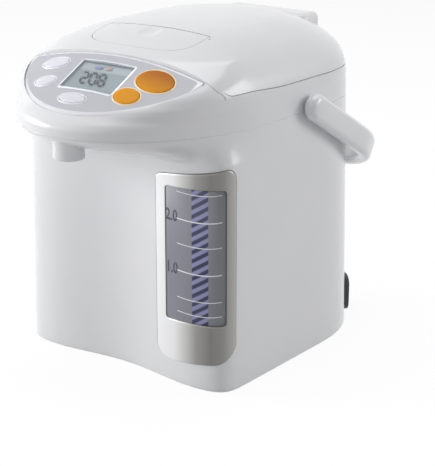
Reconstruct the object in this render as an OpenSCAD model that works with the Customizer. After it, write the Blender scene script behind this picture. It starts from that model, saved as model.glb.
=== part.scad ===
// Electric thermo pot: a pump-action hot water dispenser with a beaked top,
// a hinged lid, a carrying handle and a water gauge behind a corner window.
// Origin at the centre of the foot, +Z up, the spout points to -Y.

/* [Body] */
// Width of the body at its foot
body_w = 235; // [225:1:250]
// Depth of the body at its foot, without the beak
body_d = 248; // [238:1:262]
// Height of the parting line between body and top cover
rim_z = 227; // [222:1:236]
// Height of the lid's crown
top_z = 302; // [298:1:312]
// Lean of each wall between the foot and the parting line
wall_lean = 4; // [2:0.5:6]
// Hollow of the front wall
front_hollow = 8.4; // [4:0.2:10]
// Reach of the beak ahead of the body's centre
beak_reach = 199; // [194:1:206]
// Wall of the moulded casings
wall = 2.5; // [2.2:0.1:3]
// Height of the rubber feet under the base plate
foot_h = 4; // [3:0.5:6]

/* [Lid] */
// Height of the lid's lower edge above the parting line
lid_rise = 28.5; // [27:0.5:31]
// Gap around the lid
lid_gap = 0.6; // [0.5:0.1:1]
// Height of the hinge pin above the lid's lower edge
hinge_rise = 6.5; // [6.5:0.5:8]
// Distance of the hinge pin ahead of the body's rear end
hinge_in = 12; // [11:0.5:16]
// Diameter of the hinge pin
hinge_pin_d = 5; // [4:0.5:6]
// Width of the lever plate on the lid
lever_w = 112; // [100:1:120]
// Depth of the lever plate, front to back
lever_d = 40; // [36:1:44]

/* [Control panel] */
// Slope of the control panel
panel_tilt = 28; // [26:0.5:30]
// Half width of the control panel
panel_half_w = 94; // [88:1:97]
// Front-to-back depth of the control panel at its middle
panel_depth = 70; // [66:1:72]
// Thickness of the panel skin
panel_t = 2; // [1.6:0.1:2.4]
// Width of the display glass
lcd_w = 57; // [50:1:60]
// Depth of the display glass
lcd_d = 36; // [32:1:38]
// Gap around each button
button_gap = 0.35; // [0.3:0.05:0.5]
// Travel of a button
button_travel = 1.2; // [0.8:0.1:1.4]

/* [Water] */
// Inside radius of the inner pot
pot_r = 83; // [78:0.5:84]
// Height of the inner pot's floor
pot_floor_z = 58; // [56:0.5:66]
// Sheet thickness of the inner pot
pot_wall = 1; // [0.8:0.1:1.4]
// Outside diameter of the spout nozzle
nozzle_d = 27; // [24:0.5:30]
// Height of the nozzle's mouth
nozzle_z = 205; // [202:0.5:207]
// Diameter of the gauge tube
gauge_d = 15.5; // [13:0.5:16]

/* [Handle] */
// Height of the handle's pivot above the parting line
pivot_rise = 3.5; // [0:0.5:5]
// Distance of the pivot behind the body's centre
pivot_y = 5; // [0:0.5:10]
// Diameter of each pivot pin
pivot_d = 8; // [6:0.5:10]
// Width of the handle's strap
strap_w = 24; // [20:0.5:26]
// Thickness of the handle's strap
strap_t = 13; // [11:0.5:15]
// Distance from pivot to grip
handle_reach = 152.5; // [151:0.5:158]
// Angle by which the resting handle hangs below the level
handle_droop = 30; // [27:0.5:32]

/* [Window] */
// Direction that the corner window faces, turned from the front
window_az = 38; // [36:0.5:40]
// Width of the window's frame
window_w = 68; // [64:1:70]
// Height of the lower edge of the window's frame
window_z0 = 22; // [20:0.5:26]
// Height of the upper edge of the window's frame
window_z1 = 192; // [186:0.5:193]

/* [Hidden] */
$fn = 64;

// Columns of a row of the casing's contour lines
Z = 0; // height
W = 1; // half width
YF = 2; // front end
YR = 3; // rear end
NF = 4; // squareness of the front half
NR = 5; // squareness of the rear half
CF = 6; // where the front half starts
HOL = 7; // hollow of the front
BEAK = 8; // share of the beak's outline in the front half, the rest is the body's
seg = 44;
front_mid = -60;
rear_mid = 20;
body_n = 8;

// Derived sizes
foot_hw = body_w / 2;
foot_hd = body_d / 2;
hinge_y = foot_hd - hinge_in;
rim_hw = foot_hw - wall_lean;
rim_hd = foot_hd - wall_lean;
crown_h = top_z - rim_z;
lid_z = rim_z + lid_rise;
base_z = foot_h;
edge_r = 6;
pane_w = window_w - 16;
pane_z0 = window_z0 + 38;
pane_z1 = window_z1 - 13;
window_u = -6.5;
// the window is cut between these distances from the middle
prism_in = foot_hd / 2;
prism_out = foot_hd + foot_hw / 3;
skin = 1.2;
pot_top_z = lid_z - 5.5;
flange_r = pot_r + 9;
deck_z = lid_z - lid_gap;
fit = 0.3;
pivot_z = rim_z + pivot_rise;
axis_z = lid_z + hinge_rise;

// ---- contour lines of the casing ----------------------------------------------------------

function lean(z) = wall_lean * z / rim_z;
// One level contour of the body below the beak
function body_row(z, grow = 0) =
  [z, foot_hw - lean(z) + grow, -foot_hd + lean(z) - grow, foot_hd - lean(z) + grow,
   body_n, 2.9, front_mid, front_hollow, 0];
// Level contours of the beak's underside: share of the flare's height, share of the reach
flare_z = rim_z - 29;
flare_steps = [[0.08, 0.06], [0.18, 0.2], [0.28, 0.37], [0.41, 0.56], [0.55, 0.73], [0.7, 0.86],
  [0.85, 0.955], [1, 1]];
front_at_flare = foot_hd - lean(flare_z);
function flare_row(s) = let (z = flare_z + s[0] * (rim_z - flare_z))
  [z, foot_hw - lean(z), -front_at_flare - s[1] * (beak_reach - front_at_flare),
   foot_hd - lean(z), 2, 2.9, front_mid, front_hollow * (1 - s[1]), s[1]];
body_rows = concat(
  [body_row(base_z, -3), body_row(base_z + edge_r * 0.35, -0.9), body_row(base_z + edge_r)],
  [body_row(flare_z)], [for (s = flare_steps) flare_row(s)]);

// The panel is a plane that slopes to the front and droops to both sides
panel_y = -beak_reach + 56;
panel_z = rim_z + 0.547 * crown_h;
panel_droop = 0.0012;
function panel_front_at(z) = panel_y + (z - panel_z) / tan(panel_tilt);
function panel_surf(x, y) = panel_z + (y - panel_y) * tan(panel_tilt) - panel_droop * x * x;
// Level contours of the crown: share of its height, side inset, front set-back
// (undef on the panel's slope), rear inset, squareness front and rear, start of the front half
crown_steps = [
  [0, 0, 0, 0, 2, 2.9, -60],
  [0.093, 0.1, 0, 0.1, 2, 2.9, -60],
  [0.16, 0.3, 4, 0.3, 2.1, 2.9, -60],
  [0.213, 0.5, 11, 0.5, 2.2, 2.9, -60],
  [0.253, 0.6, 16, 0.7, 2.4, 2.9, -60],
  [0.307, 0.8, undef, 1, 2.7, 2.9, -60],
  [0.373, 1.2, undef, 1.5, 3, 2.9, -60],
  [0.44, 2.1, undef, 2.5, 3.3, 2.9, -60],
  [0.507, 3.7, undef, 4, 3.4, 2.9, -60],
  [0.573, 6.3, undef, 6.2, 3.4, 2.9, -60],
  [0.64, 9.7, undef, 9, 3.2, 2.9, -60],
  [0.707, 14.2, undef, 13, 3, 2.8, -60],
  [0.74, 17, undef, 15.4, 2.95, 2.75, -56],
  [0.773, 20, 90, 18, 2.8, 2.7, -50],
  [0.84, 28.5, 105, 24.5, 2.5, 2.5, -40],
  [0.907, 41.5, 123, 34, 2.3, 2.4, -30],
  [0.96, 59, 145, 47, 2.2, 2.2, -10],
  [0.99, 83.5, 173, 68, 2, 2, 5],
  [1, 108, 199, 92, 2, 2, 12]];
function crown_row(s) = let (z = rim_z + s[0] * crown_h)
  [z, rim_hw - s[1], is_undef(s[2]) ? panel_front_at(z) : -beak_reach + s[2],
   rim_hd - s[3], s[4], s[5], s[6], 0, 1];
crown_rows = [for (s = crown_steps) crown_row(s)];
// Parts of the crown that are enough for each piece
cover_rows = [for (k = [0 : 14]) crown_rows[k]];
lid_rows = [for (k = [5 : 18]) crown_rows[k]];
rim_rows = [for (k = [5 : 7]) crown_rows[k]];
rear_rows = [for (k = [7 : 16]) crown_rows[k]];
top_rows = [for (k = [12 : 18]) crown_rows[k]];

// A row pushed inwards by t, square to the front profile
function inner_row(rows, k, t) = let (
    a = rows[max(k - 1, 0)], b = rows[min(k + 1, len(rows) - 1)], r = rows[k],
    dy = b[YF] - a[YF], dz = b[Z] - a[Z], l = norm([dy, dz]))
  [r[Z] - t * dy / l, r[W] - t, r[YF] + t * dz / l, r[YR] - t, r[NF], r[NR], r[CF], r[HOL],
   r[BEAK]];
function reach(a, w, l, n) =
  pow(pow(abs(cos(a)) / w, n) + pow(abs(sin(a)) / l, n), -1 / n);
function hollow(x, w, depth) =
  abs(x) < 0.75 * w ? depth * pow(cos(90 * x / (0.75 * w)), 2) : 0;
// Reach of the front half at an angle: a mix of the body's outline and the beak's
function front_reach(a, r) = let (
    s = r[BEAK], l_body = foot_hd - foot_hw + r[W] + r[CF],
    l_beak = s > 0 ? (r[CF] - r[YF] - (1 - s) * l_body) / s : 1)
  (s < 1 ? (1 - s) * reach(a, r[W], l_body, body_n) : 0) +
  (s > 0 ? s * reach(a, r[W], l_beak, r[NF]) : 0);
function ring(r) = concat(
  [for (i = [0 : seg]) let (a = 180 + 180 * i / seg, q = front_reach(a, r))
    [q * cos(a), r[CF] + q * sin(a) + hollow(q * cos(a), r[W], r[HOL]), r[Z]]],
  [for (i = [0 : seg]) let (a = 180 * i / seg, q = reach(a, r[W], r[YR] - rear_mid, r[NR]))
    [q * cos(a), rear_mid + q * sin(a), r[Z]]]);

module loft(rings) {
  n = len(rings[0]);
  m = len(rings);
  polyhedron(
    points = [for (r = rings) each r],
    faces = concat(
      [[for (i = [0 : n - 1]) i]],
      [for (k = [0 : m - 2]) for (i = [0 : n - 1]) let (j = (i + 1) % n)
        each [[k * n + i, (k + 1) * n + i, (k + 1) * n + j], [k * n + i, (k + 1) * n + j, k * n + j]]],
      [[for (i = [n - 1 : -1 : 0]) (m - 1) * n + i]]));
}
module casing(rows) { loft([for (r = rows) ring(r)]); }
module casing_core(rows, t, below = 0, above = 0) {
  rows_in = [for (k = [0 : len(rows) - 1]) inner_row(rows, k, t)];
  first = rows_in[0];
  last = rows_in[len(rows) - 1];
  low = [for (c = [0 : BEAK]) c == Z ? first[Z] - below : first[c]];
  high = [for (c = [0 : BEAK]) c == Z ? last[Z] + above : last[c]];
  loft([for (r = concat(below > 0 ? [low] : [], rows_in, above > 0 ? [high] : [])) ring(r)]);
}
module foot_outline(inset) {
  polygon([for (p = ring(body_row(base_z + edge_r, -inset))) [p[0], p[1]]]);
}

// ---- small shapes -------------------------------------------------------------------------

module tube(r, r_in, h) {
  difference() {
    cylinder(r = r, h = h);
    translate([0, 0, -1]) cylinder(r = r_in, h = h + 2);
  }
}
module ellipse(a, b) { polygon([for (i = [0 : 39]) [a * cos(9 * i), b * sin(9 * i)]]); }
module oval(a, b, h) { linear_extrude(h) ellipse(a, b); }
module slab(w, d, h, r) {
  linear_extrude(h) {
    square([w - 2 * r, d], center = true);
    square([w, d - 2 * r], center = true);
    for (x = [-1, 1], y = [-1, 1]) translate([x * (w / 2 - r), y * (d / 2 - r)]) circle(r = r, $fn = 32);
  }
}
// A frame on the panel's skin: origin on its surface, +Z along its normal
module on_panel(x, y) {
  translate([x, y, panel_surf(x, y)])
    rotate([panel_tilt, 0, 0]) rotate([0, atan(2 * panel_droop * x * cos(panel_tilt)), 0]) children();
}

// ---- body ---------------------------------------------------------------------------------

boss_r = 5;
boss_spots = [[-98, -100], [98, -100], [-84, 84], [84, 84]];
boss_h = 26;
plate_t = 3;
screw_d = 4;
boss_z = base_z + plate_t;
inlet_a = 52;
inlet_w = 34;
inlet_h = 36;
inlet_z = 24;
inlet_r = 138;
nozzle_y = -beak_reach + 19;
lug_t = 6;
lug_w = 26;
lug_h = 40;
lug_rise = 12;
module at_bosses(z) { for (p = boss_spots) translate([p[0], p[1], z]) children(); }
module window_prism(w, z0, z1, r, from, to) {
  rotate([0, 0, window_az]) translate([window_u, 0, (z0 + z1) / 2])
    rotate([90, 0, 0]) translate([0, 0, from]) slab(w, z1 - z0, to - from, r);
}
module inlet_place() {
  rotate([0, 0, inlet_a]) translate([inlet_r, 0, inlet_z]) rotate([0, 90, 0]) children();
}
// Across the body at the handle's pivots, from inside to outside
module at_pivots(x) {
  for (s = [0, 1]) mirror([s, 0, 0]) translate([x, pivot_y, pivot_z]) rotate([0, 90, 0]) children();
}

module body_shell() {
  color("whitesmoke") difference() {
    union() {
      difference() {
        casing(body_rows);
        difference() {
          casing_core(body_rows, wall, below = 5, above = 5);
          // screw bosses, each on a web to its corner
          at_bosses(boss_z) cylinder(r = boss_r, h = boss_h);
          for (p = boss_spots) translate([p[0], p[1], boss_z])
            rotate([0, 0, atan2(p[1], p[0])]) translate([0, -1.2, 0]) cube([30, 2.4, boss_h]);
          // clip of the riser pipe
          translate([-5, riser_y - 20, 150]) cube([10, 20, 8]);
          translate([0, riser_y, 150]) cylinder(d = riser_d + 5, h = 8);
        }
      }
      // lugs that carry the handle's pins across the parting line
      for (s = [0, 1]) mirror([s, 0, 0]) {
        translate([rim_hw - wall - fit - lug_t, pivot_y - lug_w / 2, rim_z + lug_rise - lug_h])
          cube([lug_t, lug_w, lug_h]);
        translate([rim_hw - wall - lug_t, pivot_y - lug_w / 2, rim_z + lug_rise - lug_h])
          cube([lug_t + 1, lug_w, lug_h - lug_rise - 2]);
      }
    }
    at_bosses(0) cylinder(d = screw_d, h = boss_h);
    at_pivots(rim_hw - 30) cylinder(d = pivot_d + 0.1, h = 60);
    at_pivots(rim_hw - wall - fit) cylinder(r = pivot_d / 2 + 1, h = 20);
    translate([0, nozzle_y, nozzle_z - 4]) cylinder(d = nozzle_d + 2 * fit, h = 22);
    translate([0, riser_y, 100]) cylinder(d = riser_d + 0.1, h = 100);
    window_prism(window_w - 8, window_z0 + 4, window_z1 - 4, 12, prism_in, prism_out);
    inlet_place() translate([0, 0, -30]) slab(inlet_h - 8, inlet_w - 8, 60, 6);
  }
}
module base_plate() {
  color("gainsboro") difference() {
    union() {
      translate([0, 0, base_z]) linear_extrude(plate_t) foot_outline(wall + 3.5);
      at_board_holes(base_z) {
        cylinder(r = 4, h = board_z - base_z);
        cylinder(d = board_hole_d - 0.1, h = board_z - base_z + board_t + 1.5);
      }
      translate([0, pump_y, base_z]) cylinder(d = motor_d + 6, h = plate_t + 8);
    }
    at_bosses(0) cylinder(d = screw_d + 0.4, h = 20);
    for (p = foot_spots) translate([p[0], p[1], 0]) cylinder(d = foot_stem_d + 0.1, h = 20);
    translate([0, pump_y, base_z + plate_t]) cylinder(d = motor_d + 0.1, h = 40);
    for (i = [-4 : 4]) translate([vent_x + i * vent_pitch - 1.5, 24, 0]) cube([3, 34, 20]);
  }
}
vent_x = 45;
vent_pitch = 7;
// four corner feet and the pad under the middle of the base plate
foot_spots = [[-84, -96], [84, -96], [-68, 75], [68, 75], [0, 0]];
foot_stem_d = 7;
module rubber_feet() {
  color("dimgray") for (p = foot_spots) translate([p[0], p[1], 0]) {
    cylinder(d = 20, h = base_z);
    cylinder(d = foot_stem_d, h = base_z + plate_t);
    translate([0, 0, base_z + plate_t]) cylinder(d = foot_stem_d + 3, h = 1.6);
  }
}
module base_screws() {
  color("silver") at_bosses(base_z - 2.2) {
    cylinder(d = 2 * screw_d, h = 2.2);
    cylinder(d = screw_d - 0.1, h = 22);
  }
}

// ---- top cover and beak -------------------------------------------------------------------

panel_rear = panel_y + 27;
function panel_back(x) = panel_rear - 2.2 * pow(x / panel_half_w, 2);
function panel_front(x) =
  panel_rear - panel_depth + (panel_depth - 6.5) * (1 - pow(max(1 - pow(x / panel_half_w, 2), 0), 0.72));
// The parting line between lid and cover runs along the panel, then round the panel's tip
// and out through the side wall, steps in x and y from the tip
tip_turn = [[2.5, 0.8], [5, 1.2], [8.5, 2.4], [11.5, 4.6], [13.5, 7.5], [15, 12], [17, 23], [20, 36]];
// Everything of the crown that belongs to the lid, seen from above
module lid_plan(grow) {
  back = [for (x = [-panel_half_w : 4 : panel_half_w]) [x, panel_back(x) + lid_gap - grow]];
  tip_y = panel_back(panel_half_w) + lid_gap;
  turn = [for (t = tip_turn) [panel_half_w + t[0] + 0.7 * grow, tip_y + t[1] - 0.7 * grow]];
  polygon(concat(back, turn, [[200, tip_y + 36 - 0.7 * grow], [200, 200], [-200, 200],
    [-200, tip_y + 36 - 0.7 * grow]],
    [for (i = [len(turn) - 1 : -1 : 0]) [-turn[i][0], turn[i][1]]]));
}
module lid_zone(grow, down) {
  translate([0, 0, lid_z - down]) linear_extrude(100) lid_plan(grow);
}
// The panel's lens, between two depths under the skin
module lens(inset, low, high) {
  w = panel_half_w - 1.5 * inset;
  stations = [for (i = [-16 : 16]) w * sin(5.5 * i) / sin(88)];
  rotate([90, 0, 90]) loft([for (x = stations) let (
      f = min(panel_front(x) + inset, panel_back(x) - inset - 0.4), b = panel_back(x) - inset)
    [[f, panel_surf(x, f) - low, x], [b, panel_surf(x, b) - low, x],
     [b, panel_surf(x, b) + high, x], [f, panel_surf(x, f) + high, x]]]);
}
ledge = 1.6;
module top_cover() {
  color("white") difference() {
    union() {
      difference() {
        difference() {
          casing(cover_rows);
          lid_zone(lid_gap, lid_gap);
        }
        difference() {
          casing_core(cover_rows, wall, below = 6);
          lid_zone(lid_gap + wall, lid_gap + wall);
          lens(-1.5, 5, 0);
        }
      }
      at_tabs(pot_top_z) cylinder(d = 8, h = deck_z - pot_top_z);
    }
    // pot mouth
    translate([0, 0, rim_z]) cylinder(r = pot_r + 3, h = 60);
    // seat and opening of the panel
    lens(-0.2, panel_t + 0.1, 30);
    lens(ledge, 12, 30);
    // notches for the pivot pins
    at_pivots(rim_hw - 20) cylinder(r = pivot_d / 2 + 1, h = 40);
    // catch for the latch
    translate([-latch_w / 2 - 1, panel_rear - 8, latch_z - 1]) cube([latch_w + 2, 10, latch_t + 2]);
    // slots for the hinge's ears and seats of its screws
    ear_post(fit);
    at_hinge_screws(rim_z) cylinder(d = hinge_screw_d + 0.4, h = 60);
    at_hinge_screws(deck_z - 1.3) cylinder(d = 2 * hinge_screw_d + 0.6, h = 10);
    at_tabs(pot_top_z - 1) cylinder(d = tab_screw_d, h = 4.2);
  }
}

// ---- control panel ------------------------------------------------------------------------

lcd_y = panel_y;
lcd_frame = 3;
board_drop = 15;
board_t = 1.6;
switch_h = 5;
// Each button: place on the panel in x and y, half width, half depth
dispense_at = [56, 8.5, 18, 12.5];
unlock_at = [43.5, -13, 12, 9];
reboil_at = [-57, 11.5, 14, 7];
timer_at = [-49, -11, 10.5, 6];
temp_at = [-3.5, -27.5, 14, 5.5];
buttons = [dispense_at, unlock_at, reboil_at, timer_at, temp_at];
button_proud = 0.8;
collar_t = 1.2;
module at_button(b) { on_panel(b[0], panel_y + b[1]) children(); }
// Depth from the skin at a button down to the board
function board_depth(b) = board_drop - panel_droop * b[0] * b[0] * cos(panel_tilt);
module lcd_cut(w, d, low, high) {
  on_panel(0, lcd_y) translate([0, 0, -low]) linear_extrude(low + high) square([w, d], center = true);
}
module control_panel() {
  color("lightsteelblue") difference() {
    lens(0, panel_t, 0);
    lcd_cut(lcd_w, lcd_d, 10, 10);
    for (b = buttons) at_button(b) translate([0, 0, -8]) oval(b[2] + button_gap, b[3] + button_gap, 16);
  }
}
module lcd_lens() {
  color("slategray") lcd_cut(lcd_w - 2 * fit, lcd_d - 2 * fit, panel_t, 0.2);
}
module lcd_module() {
  color("darkslategray") lcd_cut(lcd_w + 3.6, lcd_d - 6, board_drop, -panel_t - 1.6);
}
module control_board() {
  color("seagreen") on_panel(0, lcd_y) translate([0, 0, -board_drop - board_t])
    linear_extrude(board_t)
      polygon([[-64, 10], [-38, 15], [38, 15], [64, 10], [64, -8], [30, -35], [-30, -35], [-64, -8]]);
}
module tact_switches() {
  color("black") for (b = buttons) at_button(b) {
    translate([0, 0, -board_depth(b) + 0.9]) {
      translate([-3, -3, 0]) cube([6, 6, switch_h - 1.5]);
      cylinder(d = 3.4, h = switch_h - 0.2);
    }
  }
}
module button(b, tint) {
  stem = board_depth(b) - 0.9 - switch_h - button_travel - 0.2;
  color(tint) at_button(b) {
    translate([0, 0, -panel_t - fit]) oval(b[2], b[3], panel_t + fit + button_proud);
    translate([0, 0, -panel_t - fit - collar_t]) oval(b[2] + 0.7, b[3] + 0.7, collar_t);
    translate([0, 0, -stem]) cylinder(d = 5, h = stem - panel_t - fit);
  }
}
module dispense_button() { button(dispense_at, "orange"); }
module unlock_button() { button(unlock_at, "orange"); }
module reboil_button() { button(reboil_at, "lavender"); }
module timer_button() { button(timer_at, "lightgray"); }
module temp_button() { button(temp_at, "gainsboro"); }

// ---- water path ---------------------------------------------------------------------------

riser_y = -foot_hd + front_hollow + lean(60) + wall + 9.5;
riser_d = 10;
pipe_z = rim_z + 3;
pump_y = -62;
pump_r = 22;
pump_z0 = 32;
pump_h = 15;
motor_d = 28;
bore_d = 6;
bend_r = 12;
nozzle_h = pipe_z - bend_r - nozzle_z - 0.3;
module spout_nozzle() {
  color("white") translate([0, nozzle_y, nozzle_z]) difference() {
    cylinder(d = nozzle_d, h = nozzle_h);
    translate([0, 0, -1]) cylinder(d = nozzle_d - 5, h = 8);
    cylinder(d = riser_d + 0.1, h = 60);
  }
}
// A quarter bend that starts upwards and ends along +Y
module pipe_bend(d, r) {
  translate([0, r, 0]) rotate([0, -90, 0]) rotate([0, 0, -90])
    rotate_extrude(angle = 90) translate([r, 0]) circle(d = d);
}
module level_pipe(d, l) { rotate([-90, 0, 0]) cylinder(d = d, h = l); }
module spout_run(d) {
  r = bend_r;
  low = nozzle_z + 9;
  translate([0, nozzle_y, low]) cylinder(d = d, h = pipe_z - r - low);
  translate([0, nozzle_y, pipe_z - r]) pipe_bend(d, r);
  translate([0, nozzle_y + r, pipe_z]) level_pipe(d, riser_y - nozzle_y - 2 * r);
  translate([0, riser_y, pipe_z - r]) mirror([0, 1, 0]) pipe_bend(d, r);
}
module spout_tube() {
  color("silver") difference() {
    spout_run(riser_d);
    spout_run(bore_d);
  }
}
module riser_run(d) {
  r = bend_r;
  z0 = pump_z0 + pump_h / 2;
  translate([0, riser_y, z0 + r]) cylinder(d = d, h = pipe_z - 2 * r - z0);
  translate([0, riser_y, z0 + r]) mirror([0, 0, 1]) pipe_bend(d, r);
  translate([0, riser_y + r, z0]) level_pipe(d, pump_y - pump_r - 2 - riser_y - r);
}
module riser_pipe() {
  color("silver") difference() {
    riser_run(riser_d);
    riser_run(bore_d);
  }
}
tab_r = flange_r + 7;
tab_screw_d = 3;
module at_tabs(z) {
  for (a = [45 : 90 : 315]) rotate([0, 0, a]) translate([tab_r, 0, z]) children();
}
module pot_screws() {
  color("silver") at_tabs(pot_top_z - pot_wall - 1.6) {
    cylinder(d = 2 * tab_screw_d, h = 1.6);
    cylinder(d = tab_screw_d - 0.1, h = 1.6 + pot_wall + 3);
  }
}
module inner_pot() {
  color("silver") difference() {
    union() {
      translate([0, 0, pot_floor_z - pot_wall]) cylinder(r = pot_r + pot_wall, h = pot_top_z - pot_floor_z + pot_wall);
      translate([0, 0, pot_top_z - pot_wall]) cylinder(r = flange_r, h = pot_wall);
      at_tabs(pot_top_z - pot_wall) cylinder(r = 8.5, h = pot_wall);
    }
    translate([0, 0, pot_floor_z]) cylinder(r = pot_r, h = 300);
    translate([0, pump_y, pot_floor_z - 10]) cylinder(d = bore_d, h = 20);
    at_tabs(pot_top_z - 5) cylinder(d = tab_screw_d + 0.4, h = 10);
  }
}
module pot_seal() {
  color("gray") translate([0, 0, pot_top_z]) tube(flange_r - 0.5, pot_r + 4, deck_z - wall - pot_top_z);
}
// The felt stays clear of the riser pipe
jacket_r = min(pot_r + 7, -riser_y - riser_d / 2 - 0.5);
module heat_jacket() {
  color("lightgray") translate([0, 0, pot_floor_z - 8]) difference() {
    cylinder(r = jacket_r, h = pot_top_z - pot_floor_z);
    translate([0, 0, -1]) cylinder(r = pot_r + pot_wall + 0.05, h = 300);
  }
}
module heater_plate() {
  color("darkgray") translate([0, 0, pot_floor_z - pot_wall - 5]) tube(42, 16, 5);
}
module thermistor() {
  color("firebrick") translate([0, 0, pot_floor_z - pot_wall - 9]) {
    cylinder(d = 12, h = 9);
    translate([0, 0, -4]) cylinder(d = 20, h = 4);
  }
}
module pump_housing() {
  color("ivory") translate([0, pump_y, pump_z0]) difference() {
    union() {
      cylinder(r = pump_r, h = pump_h);
      translate([0, 0, pump_h / 2]) rotate([90, 0, 0]) cylinder(d = pump_h - 2, h = pump_r + 8);
    }
    translate([0, 0, 3]) cylinder(r = pump_r - 3, h = pump_h - 6);
    cylinder(d = bore_d, h = pump_h + 1);
    translate([0, 0, -1]) cylinder(d = 6.1, h = 6);
    translate([0, 0, pump_h / 2]) rotate([90, 0, 0]) cylinder(d = bore_d, h = pump_r + 5);
    translate([0, -pump_r - 2, pump_h / 2]) rotate([90, 0, 0]) cylinder(d = riser_d + 0.1, h = 10);
  }
}
module pump_motor() {
  color("dimgray") translate([0, pump_y, base_z + plate_t])
    difference() {
      cylinder(d = motor_d, h = pump_z0 - base_z - plate_t);
      translate([0, 0, 8]) cylinder(d = 6.1, h = 40);
    }
}
module impeller() {
  z0 = pump_z0 + 4;
  color("steelblue") translate([0, pump_y, 0]) {
    translate([0, 0, base_z + plate_t + 9]) cylinder(d = 6, h = z0 - base_z - plate_t - 9);
    translate([0, 0, z0]) cylinder(r = pump_r - 5, h = 1.6);
    for (i = [0 : 5]) rotate([0, 0, 60 * i]) translate([4.5, -0.8, z0 + 1.6]) cube([pump_r - 10.5, 1.6, 4.5]);
  }
}
module pump_inlet_seal() {
  color("gray") translate([0, pump_y, pump_z0 + pump_h])
    tube(8, bore_d / 2, pot_floor_z - pot_wall - pump_z0 - pump_h);
}

// ---- gauge and corner window ---------------------------------------------------------------

gauge_z0 = pane_z0 - 8;
gauge_z1 = pane_z1 + 6;
gauge_u = -1.5;
gauge_v = foot_hd + 11.8;
socket_h = 12;
socket_in = 4;
module at_gauge(z) { rotate([0, 0, window_az]) translate([gauge_u, -gauge_v, z]) children(); }
// A skin that follows the casing, between two depths
module casing_skin(low, high) {
  difference() {
    casing([for (z = [window_z0 - 8, window_z1 + 4]) body_row(z, high)]);
    casing([for (z = [window_z0 - 9, window_z1 + 5]) body_row(z, -low)]);
  }
}
module window_frame() {
  color("silver") difference() {
    intersection() {
      casing_skin(wall + 0.4, skin);
      window_prism(window_w, window_z0, window_z1, 14, prism_in, prism_out);
    }
    // the rim lies on the casing, the rest fills its opening
    difference() {
      casing([for (z = [window_z0 - 7, window_z1 + 3]) body_row(z, 0.05)]);
      window_prism(window_w - 8 - 2 * fit, window_z0 + 4 + fit, window_z1 - 4 - fit, 12, prism_in, prism_out + 5);
    }
    window_prism(pane_w, pane_z0, pane_z1, 3, prism_in - 5, prism_out + 5);
  }
}
module window_pane() {
  color("dimgray", 0.6) intersection() {
    casing_skin(wall - 0.6, 0.4);
    window_prism(pane_w - 2 * 0.15, pane_z0 + 0.15, pane_z1 - 0.15, 3, prism_in, prism_out);
  }
}
module gauge_tube() {
  color("lightblue") at_gauge(gauge_z0) tube(gauge_d / 2, gauge_d / 2 - 1.2, gauge_z1 - gauge_z0);
}
module gauge_fittings() {
  low = gauge_z0 + socket_in - socket_h;
  high = gauge_z1 - socket_in;
  color("gray") difference() {
    union() {
      at_gauge(low) cylinder(d = gauge_d + 2, h = socket_h);
      at_gauge(high) cylinder(d = gauge_d + 2, h = socket_h);
      // feed pipe on the base plate, and the strip that joins both sockets
      at_gauge(base_z + plate_t) cylinder(d = 10, h = low - base_z - plate_t + 1);
      at_gauge(low) translate([-5, gauge_d / 2 + 1, 0]) cube([10, 3, high + socket_h - low]);
    }
    at_gauge(gauge_z0) cylinder(d = gauge_d + 0.1, h = gauge_z1 - gauge_z0);
    at_gauge(base_z + plate_t + 4) cylinder(d = bore_d, h = gauge_z1 - base_z - 8);
  }
}

// ---- electrics ------------------------------------------------------------------------------

board_z = 18;
board_hole_d = 3;
module at_board_holes(z) {
  for (x = [-22, 22], y = [-25, 25]) translate([x - 40, y + 37, z]) children();
}
module power_board() {
  color("seagreen") translate([-40, 37, board_z]) {
    difference() {
      slab(66, 72, board_t, 3);
      translate([40, -37, 0]) at_board_holes(-1) cylinder(d = board_hole_d, h = 5);
    }
    translate([-18, -4, board_t]) cube([20, 16, 14]);
    translate([8, -20, board_t]) cylinder(d = 12, h = 16);
    translate([10, 6, board_t]) cube([9, 18, 11]);
    translate([-14, -32, board_t]) cube([14, 8, 8]);
  }
}
module power_inlet() {
  color("black") inlet_place() difference() {
    union() {
      translate([0, 0, -1]) slab(inlet_h, inlet_w, 5, 9);
      translate([0, 0, -18]) slab(inlet_h - 8 - 2 * fit, inlet_w - 8 - 2 * fit, 18, 6);
    }
    translate([0, 0, -12]) slab(inlet_h - 14, inlet_w - 14, 30, 4);
  }
}
module inlet_contacts() {
  color("goldenrod") inlet_place() for (y = [-5.5, 5.5]) translate([0, y, -12]) cylinder(d = 3.2, h = 11);
}

// ---- handle ---------------------------------------------------------------------------------

handle_gap = 1.1;
bail_r = 65;
module handle_turn() {
  translate([0, pivot_y, pivot_z]) rotate([-handle_droop, 0, 0]) children();
}
// Outline of the bail or of its opening, pivots on the X axis
module bail_outline(grow) {
  half_w = rim_hw + handle_gap + grow;
  r = bail_r + grow;
  far = handle_reach - strap_t / 2 + grow;
  translate([-half_w, 0]) {
    square([2 * half_w, far - r]);
    translate([r, 0]) square([2 * half_w - 2 * r, far]);
    for (x = [r, 2 * half_w - r]) translate([x, far - r]) circle(r = r);
  }
}
module handle() {
  color("white") handle_turn() difference() {
    union() {
      translate([0, 0, -strap_w / 2]) linear_extrude(strap_w) difference() {
        bail_outline(strap_t);
        translate([0, -0.01]) bail_outline(0);
        translate([-200, -10]) square([400, 10]);
      }
      for (s = [0, 1]) mirror([s, 0, 0]) translate([rim_hw + handle_gap, 0, 0]) rotate([0, 90, 0])
        cylinder(d = strap_w, h = strap_t);
    }
    for (s = [0, 1]) mirror([s, 0, 0]) translate([rim_hw, 0, 0]) rotate([0, 90, 0])
      cylinder(d = pivot_d + 0.1, h = handle_gap + pin_depth);
  }
}
pin_depth = 9;
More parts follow.
